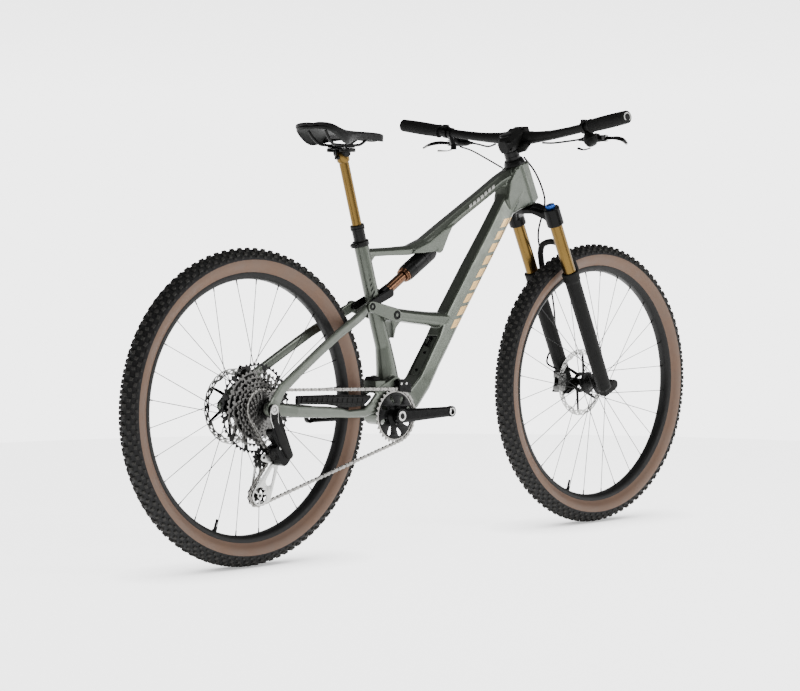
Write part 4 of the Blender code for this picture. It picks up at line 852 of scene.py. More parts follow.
def belt_wheels():
    """The wheels that the chain runs round, in its order, with the way that each one turns it."""
    return (
        (BOTTOM_BRACKET, pitch_radius(RING_TEETH), 1, "ring"),
        (TENSION_PULLEY, pitch_radius(PULLEY_TEETH), 1, "tension"),
        (GUIDE_PULLEY, pitch_radius(PULLEY_TEETH), -1, "guide"),
        (REAR_AXLE, pitch_radius(COG_TEETH), 1, "cog"),
    )


def belt_route():
    """The chain's closed pitch line as (point, run), where a run is a wheel or what leaves it."""
    wheels = belt_wheels()
    headings = []
    for i, (centre, radius, turn, _) in enumerate(wheels):
        following, next_radius, next_turn, _ = wheels[(i + 1) % len(wheels)]
        dx, dz = following.x - centre.x, following.z - centre.z
        across = radius * turn - next_radius * next_turn
        ahead = math.sqrt(dx * dx + dz * dz - across * across)
        headings.append(math.atan2(dz, dx) - math.atan2(across, ahead))
    arcs = []
    for i, (centre, radius, turn, run) in enumerate(wheels):
        start = headings[i - 1] + turn * math.pi / 2
        sweep = ((start - headings[i] - turn * math.pi / 2) * turn) % (2 * math.pi)
        steps = max(2, int(sweep / 0.05))
        arcs.append([(p, run) for p in arc(centre, radius, start, start - turn * sweep, steps)])
    route = []
    for i, here in enumerate(arcs):
        route += here[:-1]
        (ax, az), run = here[-1]
        (bx, bz), _ = arcs[(i + 1) % len(arcs)][0]
        count = max(2, int(math.hypot(bx - ax, bz - az) / 0.002))
        for k in range(count):
            t = k / count
            route.append(((ax + (bx - ax) * t, az + (bz - az) * t), run + "_out"))
    return route


def chain_pins():
    """The chain's pins, spaced evenly on its pitch line, as (point, run)."""
    route = belt_route()
    points = np.array([p for p, _ in route] + [route[0][0]])
    lengths = np.r_[0, np.cumsum(np.hypot(*np.diff(points, axis=0).T))]
    count = 2 * round(lengths[-1] / PITCH / 2)
    pins = []
    for k in range(count):
        at = lengths[-1] * k / count
        x, z = (float(np.interp(at, lengths, points[:, i])) for i in (0, 1))
        run = route[min(int(np.searchsorted(lengths, at, "right")) - 1, len(route) - 1)][1]
        pins.append((side(x, z, CHAIN_Y), run))
    return pins


PINS = chain_pins()


def tooth_phase(centre, run):
    """The angle of a pin on that wheel, where the wheel has a valley."""
    pin = next(p for p, name in PINS if name == run)
    return math.atan2(pin.z - centre.z, pin.x - centre.x)


def link_shape(outer):
    """One link along +X: two plates, with pins when it is an outer link and rollers when inner."""
    here, there, middle = Vector((0, 0, 0)), Vector((PITCH, 0, 0)), Vector((PITCH / 2, 0, 0))
    low = 0.0024 if outer else 0.0013
    thick = 0.0010
    left = arc(here, 0.0042, math.radians(50), math.radians(310), 8)
    right = arc(there, 0.0042, math.radians(-130), math.radians(130), 8)
    waist = 0.0027
    outline = left + [(middle.x, -waist)] + right + [(middle.x, waist)]
    shapes = []
    for way in (-1, 1):
        y_low, y_high = sorted((way * low, way * (low + thick)))
        shapes.append(plate("link_plate", outline, [], y_low, y_high, 0.0002))
    pin, roller = ("link_pin", 0.0038, 0.0018, 10), ("roller", 0.0012, 0.0037, 14)
    label, reach, radius, sides = pin if outer else roller
    for spot in (here, there):
        shapes.append(rod(label, spot - Y * reach, spot + Y * reach, radius, sides=sides, edge=0.0002))
    return merged("link", shapes)


def make_chain():
    """The links of each run as their own piece; the runs between two bodies ride on none of them."""
    half = sum(1 for _, run in PINS if run == "ring_out") // 2
    runs, seen = {}, 0
    for k, (pin, run) in enumerate(PINS):
        following = PINS[(k + 1) % len(PINS)][0]
        if run == "ring_out":
            seen += 1
            run = "low_front" if seen <= half else "low_rear"
        if run in ("tension", "tension_out", "guide"):
            run = "pulleys"
        way = following - pin
        stretch = Matrix.Scale(way.length / PITCH, 4, X)
        turn = Matrix.Rotation(-math.atan2(way.z, way.x), 4, "Y")
        runs.setdefault(run, ([], []))[k % 2].append(Matrix.Translation(pin) @ turn @ stretch)
    bends = {
        "low_front": ("frame", "chainstay"),
        "low_rear": ("chainstay", "cage"),
        "guide_out": ("cage", "chainstay"),
        "cog_out": ("chainstay", "frame"),
    }
    bodies = {"ring": "frame", "cog": "chainstay", "pulleys": "cage"}
    for run, (outer, inner) in runs.items():
        kinds = ((True, outer), (False, inner))
        sets = [copies("links", link_shape(kind), places) for kind, places in kinds if places]
        mesh = merged("chain_" + run, sets)
        nodes = ("chain",) if run == "cog" else ()
        piece = add_piece("chain_" + run, mesh, "chain_steel", bodies.get(run), nodes, 30)
        if run in bends:
            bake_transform(piece)


def make_chainring():
    """A bright toothed ring on a black spider with long openings."""
    pitch = pitch_radius(RING_TEETH)
    outline = toothed(
        BOTTOM_BRACKET, RING_TEETH, pitch - 0.0042, pitch + 0.0018, tooth_phase(BOTTOM_BRACKET, "ring"), 0.7
    )
    y = CHAIN_Y
    inside = circle(BOTTOM_BRACKET, pitch - 0.0075, 96)
    teeth = plate("teeth", outline, [inside], y - 0.0011, y + 0.0011, 0.0003)
    add_piece("chainring_teeth", teeth, "chain_steel", "crank", ("chainring",), 30)
    rim = pitch - 0.0074
    holes = [circle(BOTTOM_BRACKET, 0.0150, 40)]
    for k in range(8):
        middle = math.radians(45 * k + 12)
        low, high = BOTTOM_BRACKET + polar(0.0340, middle), BOTTOM_BRACKET + polar(0.0470, middle + 0.1)
        holes.append(hull((low, 0.0030), (high, 0.0058), steps=14))
    disc = plate("disc", circle(BOTTOM_BRACKET, rim, 96), holes, y - 0.0013, y + 0.0009, 0.0004)
    cone = [(0.0150, -0.0470), (0.0255, -0.0500), (0.0215, -0.0560), (0.0200, -0.0596), (0.0150, -0.0596)]
    boss = turned("boss", cone, side(BOTTOM_BRACKET.x, BOTTOM_BRACKET.z), sides=48, closed=True)
    add_piece("chainring_spider", merged("spider", [disc, boss]), "gloss_black", "crank")


def make_pulley(node, centre, body):
    pitch = pitch_radius(PULLEY_TEETH)
    flat = side(centre.x, centre.z)
    run = "guide" if node == "guide_pulley" else "tension"
    outline = toothed(flat, PULLEY_TEETH, pitch - 0.0040, pitch + 0.0014, tooth_phase(flat, run), 0.4)
    window_outer, gap = (0.0160, 0.50) if run == "guide" else (0.0168, 0.34)
    holes = [circle(flat, 0.0043, 20), *windows(flat, 0.0085, window_outer, 6, gap)]
    wheel = plate(node, outline, holes, CHAIN_Y - 0.0010, CHAIN_Y + 0.0010, 0.0003)
    hub = [(0.0043, -0.0027), (0.0078, -0.0022), (0.0078, 0.0022), (0.0043, 0.0027)]
    core = turned("core", hub, flat + Y * CHAIN_Y, sides=28, closed=True)
    add_piece(node + "_wheel", merged(node, [wheel, core]), "satin_black", body, (node,))


# ---------------------------------------------------------------- frame


DOOR_LOW = side(-0.0640, 0.4230)
DOOR_HIGH = side(0.0020, 0.5180)
DOOR_HALF_WIDTH = 0.0170
RAY_START_Y = -0.3
PRINT_ROWS, PRINT_COLUMNS = 6, 4
PRINT_LIFT, PRINT_DEPTH = 0.0005, 0.0006
EDGE_STEP = 0.001


def door(up, out=0.0, y=0.0):
    """A point on the storage door: up it, out of its face and across it."""
    run = (DOOR_HIGH - DOOR_LOW).normalized()
    return DOOR_LOW + run * up + Vector((-run.z, 0, run.x)) * out + Y * y


def pivot_cap(centre, y, radius):
    """A recessed bolt head with a hexagonal hollow, facing out along Y."""
    way = math.copysign(1, y)
    profile = [(radius, -0.0030), (radius, 0.0008), (radius * 0.88, 0.0016), (radius * 0.74, 0.0014),
               (radius * 0.66, 0.0004), (radius * 0.40, 0.0006), (radius * 0.34, -0.0022), (0.0001, -0.0022)]
    return turned("cap", profile, side(centre.x, centre.z, y), Y * way, sides=36)


def surface(shell):
    """The shell's triangles, ready for rays."""
    points = [v.co for v in shell.data.vertices]
    return BVHTree.FromPolygons(points, [p.vertices for p in shell.data.polygons])


def sideways_hit(tree, x, z):
    """Where a ray from the right meets the shell, and the normal there."""
    return tree.ray_cast(Vector((x, RAY_START_Y, z)), Y)[:2]


def printed(name, shell, shapes, look, body):
    """Thin printed shapes laid on the right-hand side of a shell; each is four (x, z) corners."""
    tree = surface(shell)
    parts = []
    for a, b, c, d in shapes:
        rows = []
        for k in range(PRINT_ROWS + 1):
            front, back = [], []
            for n in range(PRINT_COLUMNS + 1):
                low = [a[m] + (b[m] - a[m]) * n / PRINT_COLUMNS for m in (0, 1)]
                high = [d[m] + (c[m] - d[m]) * n / PRINT_COLUMNS for m in (0, 1)]
                x, z = (low[m] + (high[m] - low[m]) * k / PRINT_ROWS for m in (0, 1))
                hit, normal = sideways_hit(tree, x, z)
                if hit is not None:
                    front.append(hit + normal * PRINT_LIFT)
                    back.append(hit - normal * PRINT_DEPTH)
            if len(front) > PRINT_COLUMNS:
                rows.append(front + back[::-1])
        if len(rows) > 1:
            parts.append(grid_mesh("print", rows, close_columns=True, cap=True))
    if parts:
        add_piece(name, merged(name, parts), look, body, sharp=60)


def strokes(start, end, count, share, width, slant):
    """Slanted four-cornered marks in a row from start to end."""
    run = Vector((end[0] - start[0], end[1] - start[1]))
    across = Vector((run.y, -run.x)).normalized() * width / 2
    lean = run.normalized() * slant
    found = []
    for k in range(count):
        low = Vector(start) + run * ((k + (1 - share) / 2) / count)
        high = low + run * (share / count)
        corners = (low - across - lean, low + across + lean, high + across + lean, high - across - lean)
        found.append([tuple(corner) for corner in corners])
    return found


def front_edge(tree, z):
    """How far forward the shell's right-hand side reaches at a height."""
    for k in range(450):
        x = 0.42 - EDGE_STEP * k
        hit = sideways_hit(tree, x, z)[0]
        if hit is not None and hit.y < -0.010:
            return x
    return 0.0


def top_edge(tree, x):
    """How high the shell's right-hand side reaches at a distance forward."""
    for k in range(300):
        z = 1.0 - EDGE_STEP * k
        hit = sideways_hit(tree, x, z)[0]
        if hit is not None and hit.y < -0.008:
            return z
    return 0.0


def stripes_on(shell):
    """Plain bars down the down tube, short dashes on the top tube and strokes on the seat tube."""
    tree = surface(shell)
    bars = []
    for k in range(9):
        low, high = 0.5420 + 0.0315 * k, 0.5640 + 0.0315 * k
        first, second = front_edge(tree, low), front_edge(tree, high)
        bars.append([(first - 0.0330, low - 0.0060), (first - 0.0030, low), (second - 0.0030, high),
                     (second - 0.0330, high - 0.0060)])
    printed("down_tube_bars", shell, bars, "decal", "frame")
    dashes = []
    for k in range(7):
        low, high = 0.1150 + 0.0140 * k, 0.1245 + 0.0140 * k
        first, second = top_edge(tree, low), top_edge(tree, high)
        dashes.append([(low, first - 0.0140), (low + 0.0020, first - 0.0060),
                       (high + 0.0020, second - 0.0060),
                       (high, second - 0.0140)])
    printed("top_tube_dashes", shell, dashes, "pale", "frame")
    printed("seat_tube_marks", shell, strokes((-0.2330, 0.6900), (-0.2180, 0.6250), 5, 0.45, 0.0120, 0.0090),
            "satin_black", "frame")


def make_frame():
    """The front triangle with its prints, door and fittings, and the stays, rockers and pivot bolts."""
    shell = soft_copy("front_triangle_shell", "front_triangle", 0.0020, 4, "paint", "frame")
    for side_name, way in (("right", -1), ("left", 1)):
        seatstay, rocker = "seatstay_" + side_name, "rocker_" + side_name
        soft_copy(seatstay + "_shell", seatstay, 0.0018, 5, "paint", "seatstays")
        soft_copy(rocker + "_shell", rocker, 0.0012, 3, "paint", "rocker")
        caps = [pivot_cap(ROCKER_PIVOT, way * 0.0398, 0.0112), pivot_cap(ROCKER_REAR, way * 0.0398, 0.0092)]
        add_piece("rocker_bolts_" + side_name, merged("caps", caps), "gloss_black", "rocker")
        add_piece("main_pivot_bolt_" + side_name, pivot_cap(MAIN_PIVOT, way * 0.0428, 0.0110), "gloss_black",
                  "chainstay")
    soft_copy("chainstay_shell", "chainstay", 0.0014, 2, "paint", "chainstay")
    stripes_on(shell)
    up = seat(1) - seat(0)
    skin = [(0.0163, 0.0025), (0.0179, 0.0025), (0.0181, 0.0010), (0.0181, -0.1100), (0.0163, -0.1100)]
    add_piece("seat_tube_skin", turned("skin", skin, seat(0), up, sides=56, closed=True), "paint", "frame")
    make_door()
    make_frame_fittings()


def make_door():
    """The storage door with the dark seal round its edge, its two bolts and its latch."""
    soft_copy("storage_door_shell", "storage_door", 0.0012, 2, "paint", "door")
    length, half = (DOOR_HIGH - DOOR_LOW).length, DOOR_HALF_WIDTH
    corners = [door(0.006, 0, -half), door(length - 0.006, 0, -half), door(length, 0, -half + 0.006),
               door(length, 0, half - 0.006), door(length - 0.006, 0, half), door(0.006, 0, half),
               door(0, 0, half - 0.006), door(0, 0, -half + 0.006)]
    out = door(0, 1) - door(0)
    seal = swept("seal", [*corners, corners[0]], 0.0012, 8, (out, 0.6))
    add_piece("door_seal", seal, "grip_rubber", "door")
    bolts = []
    for up in (0.0150, 0.0660):
        bolts.append(turned("bolt", [(0.0042, 0.0), (0.0042, 0.0012), (0.0034, 0.0018), (0.0020, 0.0018),
                                     (0.0018, 0.0004), (0.0001, 0.0004)], door(up), out, sides=24))
    add_piece("door_bolts", merged("door_bolts", bolts), "gloss_black", "door")
    path = smooth_path([door(length - 0.0300, 0.0028), door(length - 0.0230, 0.0030),
                        door(length - 0.0100, 0.0030), door(length - 0.0045, 0.0028)])
    lever = [swept("lever", path, spaced([0.0046, 0.0034, 0.0034, 0.0048], len(path)), 16, (out, 0.5))]
    lever.append(turned("hub", [(0.0050, 0.0004), (0.0050, 0.0046), (0.0040, 0.0054), (0.0001, 0.0054)],
                        door(length - 0.0085), out, sides=28))
    grip = smooth_path([door(length - 0.0290, 0.0030), door(length - 0.0310, 0.0070),
                        door(length - 0.0310, 0.0125)])
    lever.append(swept("grip", grip, spaced([0.0040, 0.0036, 0.0042], len(grip)), 16, (out, 0.8)))
    add_piece("door_latch_lever", merged("latch", lever), "gloss_black", "latch", ("door_latch",))


def guard_line(share):
    """The chainstay guard's place from its front to its back: x, y, z and half its height."""
    x, y = -0.2900 - 0.2250 * share, -0.0492 - 0.0290 * share
    return x, y, 0.3740 + 0.0140 * share, 0.0120 - 0.0045 * share


def make_frame_fittings():
    """The rubber boot, ribbed chainstay guard, chain guide, bottom bracket cups and calipers."""
    boot = rounded_block("boot", (-0.2345, -0.0300, 0.4165), (-0.2080, 0.0060, 0.4275), 0.0045, segments=4,
                         taper=0.8)
    add_piece("yoke_boot", boot, "grip_rubber", "chainstay")
    soft_copy("chainstay_guard_pad", "chainstay_guard", 0.0012, 3, "grip_rubber", "chainstay")
    ribs = []
    for k in range(13):
        x, y, z, tall = guard_line(k / 12)
        ribs.append(swept("rib", [side(x - 0.0030, z - tall, y), side(x + 0.0030, z + tall, y + 0.0004)],
                          0.0013, 8))
    for level in (-0.65, 0.65):
        line = [side(x, z + level * tall, y) for x, y, z, tall in map(guard_line, (0, 0.25, 0.5, 0.75, 1))]
        ribs.append(swept("rib", line, 0.0013, 8))
    add_piece("guard_ribs", merged("ribs", ribs), "satin_black", "chainstay")
    soft_copy("chain_guide_body", "chain_guide", 0.0009, 3, "gloss_black", "frame")
    bolts = [rod("bolt", side(x, z, -0.0560), side(x, z, -0.0582), 0.0034, sides=20)
             for x, z in ((-0.1650, 0.4090), (-0.1480, 0.4090))]
    add_piece("chain_guide_bolts", merged("bolts", bolts), "silver", "frame")
    cup = [(0.0150, 0.0372), (0.0222, 0.0372), (0.0224, 0.0395), (0.0218, 0.0414), (0.0170, 0.0418),
           (0.0150, 0.0416)]
    cups = [turned("cup", cup, BOTTOM_BRACKET, Y * way, sides=48, closed=True) for way in (-1, 1)]
    add_piece("bottom_bracket_cups", merged("cups", cups), "black_alloy", "frame", ("bottom_bracket",))
    make_caliper("rear_caliper", side(-0.5745, 0.4385, 0.0480), -34, "satin_black", "chainstay")
    front = steer(-0.0300, 0.0400, 0.0430)
    make_caliper("front_caliper", front, 86, "caliper_grey", "fork_lowers")


def make_caliper(node, centre, degrees, look, body):
    """Two piston housings joined by a bridge over the rotor, with mounting bolts and pads."""
    turn = Matrix.Translation(centre) @ Matrix.Rotation(-math.radians(degrees), 4, "Y")
    halves, dark = [], []
    for way in (-1, 1):
        near, far = sorted((way * 0.0026, way * 0.0120))
        halves.append(rounded_block("half", (-0.0240, near, -0.0120), (0.0240, far, 0.0130), 0.0035, turn, 3,
                                    0.9))
        for along_it in (-0.0100, 0.0100):
            spots = [turn @ Vector((along_it, way * out, -0.0010)) for out in (0.0100, 0.0158)]
            halves.append(rod("piston", *spots, 0.0092, 0.0080, 28))
        near, far = sorted((way * 0.0018, way * 0.0026))
        dark.append(rounded_block("pad", (-0.0120, near, -0.0110), (0.0120, far, 0.0180), 0.0003, turn, 1))
    for start, end in ((-0.0250, -0.0090), (0.0090, 0.0250)):
        halves.append(rounded_block("bridge", (start, -0.0105, 0.0118), (end, 0.0105, 0.0158), 0.0015, turn))
    add_piece(node + "_body", merged(node, halves), look, body, (node,))
    for along_it in (-0.0255, 0.0255):
        low, high = turn @ Vector((along_it, 0.0090, -0.0130)), turn @ Vector((along_it, 0.0090, 0.0160))
        dark.append(rod("mount_bolt", low, high, 0.0034, sides=20))
    add_piece(node + "_bolts", merged("bolts", dark), "gloss_black", body)


# ---------------------------------------------------------------- cranks and derailleur


def eye_ring(centre, y, inner, outer, depth=0.0010):
    way = math.copysign(1, y)
    profile = [(inner, -0.0010), (outer, -0.0010), (outer, depth * 0.6), (outer - 0.0008, depth),
               (inner + 0.0006, depth),
               (inner, depth * 0.5)]
    return turned("ring", profile, side(centre.x, centre.z, y), Y * way, sides=48, closed=True)


def make_cranks():
    """Glossy arms with bright bolt and pedal-eye rings."""
    far = Vector((2 * BOTTOM_BRACKET.x - CRANK_TIP.x, 0, 2 * BOTTOM_BRACKET.z - CRANK_TIP.z))
    for name, way, tip in (("right", -1, CRANK_TIP), ("left", 1, far)):
        soft_copy("crank_" + name + "_arm", "crank_" + name, 0.0011, 4, "gloss_black", "crank")
        rings = [eye_ring(tip, way * 0.0805, 0.0070, 0.0098),
                 eye_ring(BOTTOM_BRACKET, way * 0.0745, 0.0072, 0.0122)]
        add_piece("crank_rings_" + name, merged("rings", rings), "silver", "crank")
        centre = side(BOTTOM_BRACKET.x, BOTTOM_BRACKET.z, way * 0.0742)
        well = turned("well", [(0.0073, 0.0), (0.0073, 0.0006), (0.0001, 0.0006)], centre, Y * way, sides=32)
        add_piece("crank_well_" + name, well, "satin_black", "crank")


def make_derailleur():
    """A black link body on a bright axle ring, over a knuckle and a skeleton cage."""
    body = "chainstay"
    soft_copy("derailleur_links", "derailleur_body", 0.0009, 4, "gloss_black", body)
    knuckle = side(-0.5710, 0.2640)
    drum = [(0.0001, -0.0912), (0.0080, -0.0912), (0.0125, -0.0900), (0.0138, -0.0880), (0.0138, -0.0700),
            (0.0120, -0.0640), (0.0100, -0.0604), (0.0001, -0.0604)]
    trims = [turned("drum", drum, knuckle, Y, sides=48)]
    cover = plate("cover", hull((REAR_AXLE + side(0.0020, -0.0300), 0.0080), (knuckle, 0.0095),
                                (side(-0.6000, 0.2990), 0.0060)), [], -0.0972, -0.0950, 0.0008)
    trims.append(cover)
    add_piece("derailleur_cover", merged("cover", trims), "satin_black", body)
    bright = [eye_ring(REAR_AXLE, -0.0955, 0.0062, 0.0118, 0.0016)]
    bright.append(rod("axle_end", side(REAR_AXLE.x, REAR_AXLE.z, -0.0950),
                      side(REAR_AXLE.x, REAR_AXLE.z, -0.0962), 0.0050, sides=24))
    for shift in (-0.0122, 0.0122):
        line = [REAR_AXLE + side(shift, -0.0020), REAR_AXLE + side(shift * 0.92, -0.0220),
                REAR_AXLE + side(shift * 0.75 + 0.0060, -0.0420)]
        line = [side(p.x, p.z, -0.0958) for p in line]
        bright.append(swept("edge", smooth_path(line, 4), 0.0012, 10))
    for spot in (knuckle, side(-0.5960, 0.2820)):
        bright.append(rod("pin", side(spot.x, spot.z, -0.0912), side(spot.x, spot.z, -0.0925), 0.0046,
                          sides=24))
    add_piece("derailleur_trim", merged("trim", bright), "silver", body)
    make_cage()


def make_cage():
    """Two skeleton plates on either side of the pulleys, with a bridge plate and their pins."""
    pivot, guide, tension = (side(p.x, p.z) for p in (CAGE_PIVOT, GUIDE_PULLEY, TENSION_PULLEY))
    toe = side(-0.6060, 0.1620)
    run = tension - pivot
    slot = hull((pivot + run * 0.24 + side(0.0020, 0), 0.0040),
                (pivot + run * 0.60 + side(0.0070, 0), 0.0095))
    outer_holes = [slot, circle(tension, 0.0040, 20), *windows(tension, 0.0074, 0.0200, 3, 0.32, 0.4)]
    outline = hull((pivot, 0.0100), (toe, 0.0070), (tension, 0.0235))
    plates = [plate("outer", outline, outer_holes, -0.0600, -0.0582, 0.0005)]
    inner_run = tension - guide
    hollow = hull((guide + inner_run * 0.32, 0.0045), (guide + inner_run * 0.62, 0.0060))
    inner = hull((guide, 0.0100), (tension, 0.0150))
    plates.append(plate("inner", inner, [hollow], -0.0430, -0.0413, 0.0004))
    plates.append(plate("bridge", hull((guide, 0.0090), (pivot, 0.0090)), [], -0.0600, -0.0584, 0.0004))
    add_piece("cage_plates", merged("cage", plates), "silver", "cage", ("derailleur_cage",))
    pins = []
    for spot in (guide, tension):
        pins.append(rod("pin", spot - Y * 0.0608, spot - Y * 0.0410, 0.0036, sides=20))
    pins.append(rod("cage_pin", pivot - Y * 0.0612, pivot - Y * 0.0580, 0.0050, sides=24))
    add_piece("cage_pins", merged("pins", pins), "black_alloy", "cage")


# ---------------------------------------------------------------- fork


def make_fork():
    """The crown and lowers, with gold stanchions, wipers, foot bolts, a blue dial and an air cap."""
    soft_copy("fork_crown_shell", "fork_crown", 0.0018, 6, "gloss_black", "steering")
    soft_copy("fork_lowers_shell", "fork_lowers", 0.0020, 6, "satin_black", "fork_lowers")
    for name, y in (("right", -LEG_Y), ("left", LEG_Y)):
        low, high = steer(LEG_AHEAD, 0.2060, y), steer(LEG_AHEAD, 0.5200, y)
        tube = rod("stanchion", low, high, 0.0165, sides=64)
        add_piece("stanchion_" + name + "_tube", tube, "gold_fork", "steering", ("stanchion_" + name,))
        wiper = [
            (0.0172, 0.3360), (0.0178, 0.3430), (0.0200, 0.3436), (0.0224, 0.3420), (0.0228, 0.3395),
            (0.0228, 0.3372), (0.0216, 0.3360),
        ]
        origin = steer(LEG_AHEAD, 0.0, y)
        seal = turned("wiper", wiper, origin, steer(0, 1) - steer(0, 0), sides=56, closed=True)
        add_piece("wiper_" + name, seal, "grip_rubber", "fork_lowers")
        foot = rod("foot_bolt", steer(LEG_AHEAD, -0.0035, y), steer(LEG_AHEAD, 0.0035, y), 0.0105, sides=24)
        add_piece("foot_bolt_" + name, foot, "red" if y < 0 else "black_alloy", "fork_lowers")
    dial = steer(LEG_AHEAD, 0.5273, -LEG_Y)
    axis = steer(0, 1) - steer(0, 0)
    knob_profile = [(0.0122, 0.0), (0.0125, 0.0010), (0.0125, 0.0035), (0.0112, 0.0042), (0.0105, 0.0090),
                    (0.0095, 0.0096), (0.0030, 0.0096), (0.0030, 0.0085)]
    knob = turned("dial", knob_profile, dial, axis, sides=40)
    fins = []
    ahead = steer(1, 0) - steer(0, 0)
    for k in range(16):
        a = 2 * math.pi * k / 16
        spot = dial + (ahead * math.cos(a) + Y * math.sin(a)) * 0.0112 + axis * 0.0060
        fins.append(rod("fin", spot - axis * 0.0022, spot + axis * 0.0028, 0.0011, sides=6, edge=0.0003))
    add_piece("fork_dial_knob", merged("dial", [knob, *fins]), "blue", "fork_dial", ("fork_dial",))
    cap = steer(LEG_AHEAD, 0.5268, LEG_Y)
    cap_profile = [(0.0165, 0.0), (0.0165, 0.0020), (0.0140, 0.0032), (0.0070, 0.0036), (0.0060, 0.0060),
                   (0.0020, 0.0062)]
    add_piece("air_cap", turned("air_cap", cap_profile, cap, axis, sides=40), "black_alloy", "steering")


# ---------------------------------------------------------------- shock


def make_shock():
    """A can with bands and bronze rings, a bronze shaft with a travel ring, and the yoke."""
    down = (shock(1) - shock(0)).normalized()
    can = [
        (0.0080, 0.0150), (0.0180, 0.0156), (0.0211, 0.0240), (0.0213, 0.0260), (0.0213, 0.1180),
        (0.0207, 0.1192), (0.0207, 0.1222), (0.0200, 0.1226), (0.0200, 0.1240), (0.0190, 0.1245),
        (0.0136, 0.1245), (0.0136, 0.0480), (0.0080, 0.0480),
    ]
    mesh = turned("can", can, SHOCK_TOP, down, sides=64, closed=True)
    eye = rod("eye", SHOCK_TOP - Y * 0.0130, SHOCK_TOP + Y * 0.0130, 0.0105, sides=40)
    neck = rounded_block(
        "neck",
        (-0.0240, -0.0110, -0.0085),
        (0.0, 0.0110, 0.0085),
        0.002,
        Matrix.Translation(SHOCK_TOP) @ Matrix.Rotation(-SHOCK_ANGLE, 4, "Y"),
    )
    add_piece("shock_can_body", merged("can", [mesh, eye, neck]), "black_alloy", "shock_can", ("shock_can",))
    rings = []
    for start, end, radius in ((0.1247, 0.1285, 0.0196), (0.1295, 0.1315, 0.0185), (0.1322, 0.1345, 0.0178)):
        profile = [(0.0137, start), (radius - 0.0006, start), (radius, start + 0.0006),
                   (radius, end - 0.0006),
                   (radius - 0.0006, end), (0.0137, end)]
        rings.append(turned("ring", profile, SHOCK_TOP, down, sides=56, closed=True))
    add_piece("shock_rings", merged("rings", rings), "bronze", "shock_can")
    radius = 0.0216
    for start in (0.0420, 0.0560, 0.0980):
        profile = [(0.0205, start), (radius, start + 0.0004), (radius, start + 0.0030),
                   (0.0205, start + 0.0034)]
        add_piece(f"shock_band_{round(start * 1000)}",
                  turned("band", profile, SHOCK_TOP, down, sides=56, closed=True),
                  "gloss_black", "shock_can")
    shaft = rod("shaft", shock(0.1180), shock(0.1986), 0.0130, sides=64)
    add_piece("shock_shaft_tube", shaft, "bronze", "shock_shaft", ("shock_shaft",))
    ring_mesh = turned("o_ring", [(0.0131, 0.1908), (0.0142, 0.1915), (0.0131, 0.1922)], SHOCK_TOP, down,
                       sides=48, closed=True)
    add_piece("travel_ring", ring_mesh, "grip_rubber", "shock_shaft")
    soft_copy("shock_yoke_arms", "shock_yoke", 0.0014, 4, "gloss_black", "shock_shaft")


# ---------------------------------------------------------------- seat


def make_post():
    """The gold post, its round head, the black rail clamps and their two bolts."""
    stanchion = rod("post", seat(-0.0150), seat(0.2180), 0.0122, sides=64)
    up = seat(1) - seat(0)
    head = [
        (0.0122, 0.2120), (0.0150, 0.2150), (0.0158, 0.2170), (0.0160, 0.2300), (0.0152, 0.2360),
        (0.0120, 0.2400), (0.0001, 0.2410),
    ]
    crown = turned("head", head, seat(0), up, sides=48)
    cradle = rod("cradle", seat(0.2360, y=-0.0200), seat(0.2360, y=0.0200), 0.0105, sides=32)
    add_piece("dropper_post_tube", merged("post", [stanchion, crown]), "gold_post", "dropper",
              ("dropper_post",))
    add_piece("post_cradle", cradle, "gloss_black", "dropper")
    place = Matrix.Translation(seat(0.2440))
    parts = []
    for y in (-0.0220, 0.0220):
        parts.append(rounded_block("jaw", (-0.0220, y - 0.0065, -0.0065), (0.0220, y + 0.0065, 0.0035),
                                   0.0024, place))
        parts.append(rounded_block("cap", (-0.0200, y - 0.0060, 0.0040), (0.0200, y + 0.0060, 0.0085), 0.0018,
                                   place))
    parts.append(rounded_block("yoke", (-0.0235, -0.0130, -0.0010), (0.0235, 0.0130, 0.0040), 0.0018, place))
    add_piece("rail_clamp", merged("rail_clamp", parts), "gloss_black", "dropper")
    bolts = []
    for ahead in (-0.0185, 0.0185):
        bolts.append(rod("bolt", seat(0.2270, ahead), seat(0.2480, ahead), 0.0024, sides=16))
        bolts.append(rod("nut", seat(0.2280, ahead, -0.0060), seat(0.2280, ahead, 0.0060), 0.0042, sides=24))
    add_piece("rail_bolts", merged("rail_bolts", bolts), "gloss_black", "dropper")
    soft_copy("seat_clamp_collar", "seat_clamp", 0.0012, 3, "black_alloy", "frame")
    lug = Matrix.Translation(seat(0.0092, -0.0215)) @ Matrix.Rotation(SEAT_ANGLE - math.pi / 2, 4, "Y")
    collar = [rounded_block("lug", (-0.0050, -0.0090, -0.0058), (0.0050, 0.0090, 0.0058), 0.0015, lug)]
    collar.append(rod("collar_bolt", seat(0.0092, -0.0225, -0.0125), seat(0.0092, -0.0225, 0.0125), 0.0032,
                      sides=20))
    add_piece("seat_clamp_lug", merged("lug", collar), "gloss_black", "frame")
    sleeve = [
        (0.0128, 0.0560), (0.0165, 0.0560), (0.0176, 0.0548), (0.0176, 0.0500), (0.0168, 0.0490),
        (0.0176, 0.0480), (0.0176, 0.0440), (0.0155, 0.0425), (0.0155, 0.0150), (0.0128, 0.0150),
    ]
    add_piece("dropper_collar", turned("collar", sleeve, seat(0), up, sides=56, closed=True), "black_alloy",
              "frame", ("dropper_outer",))


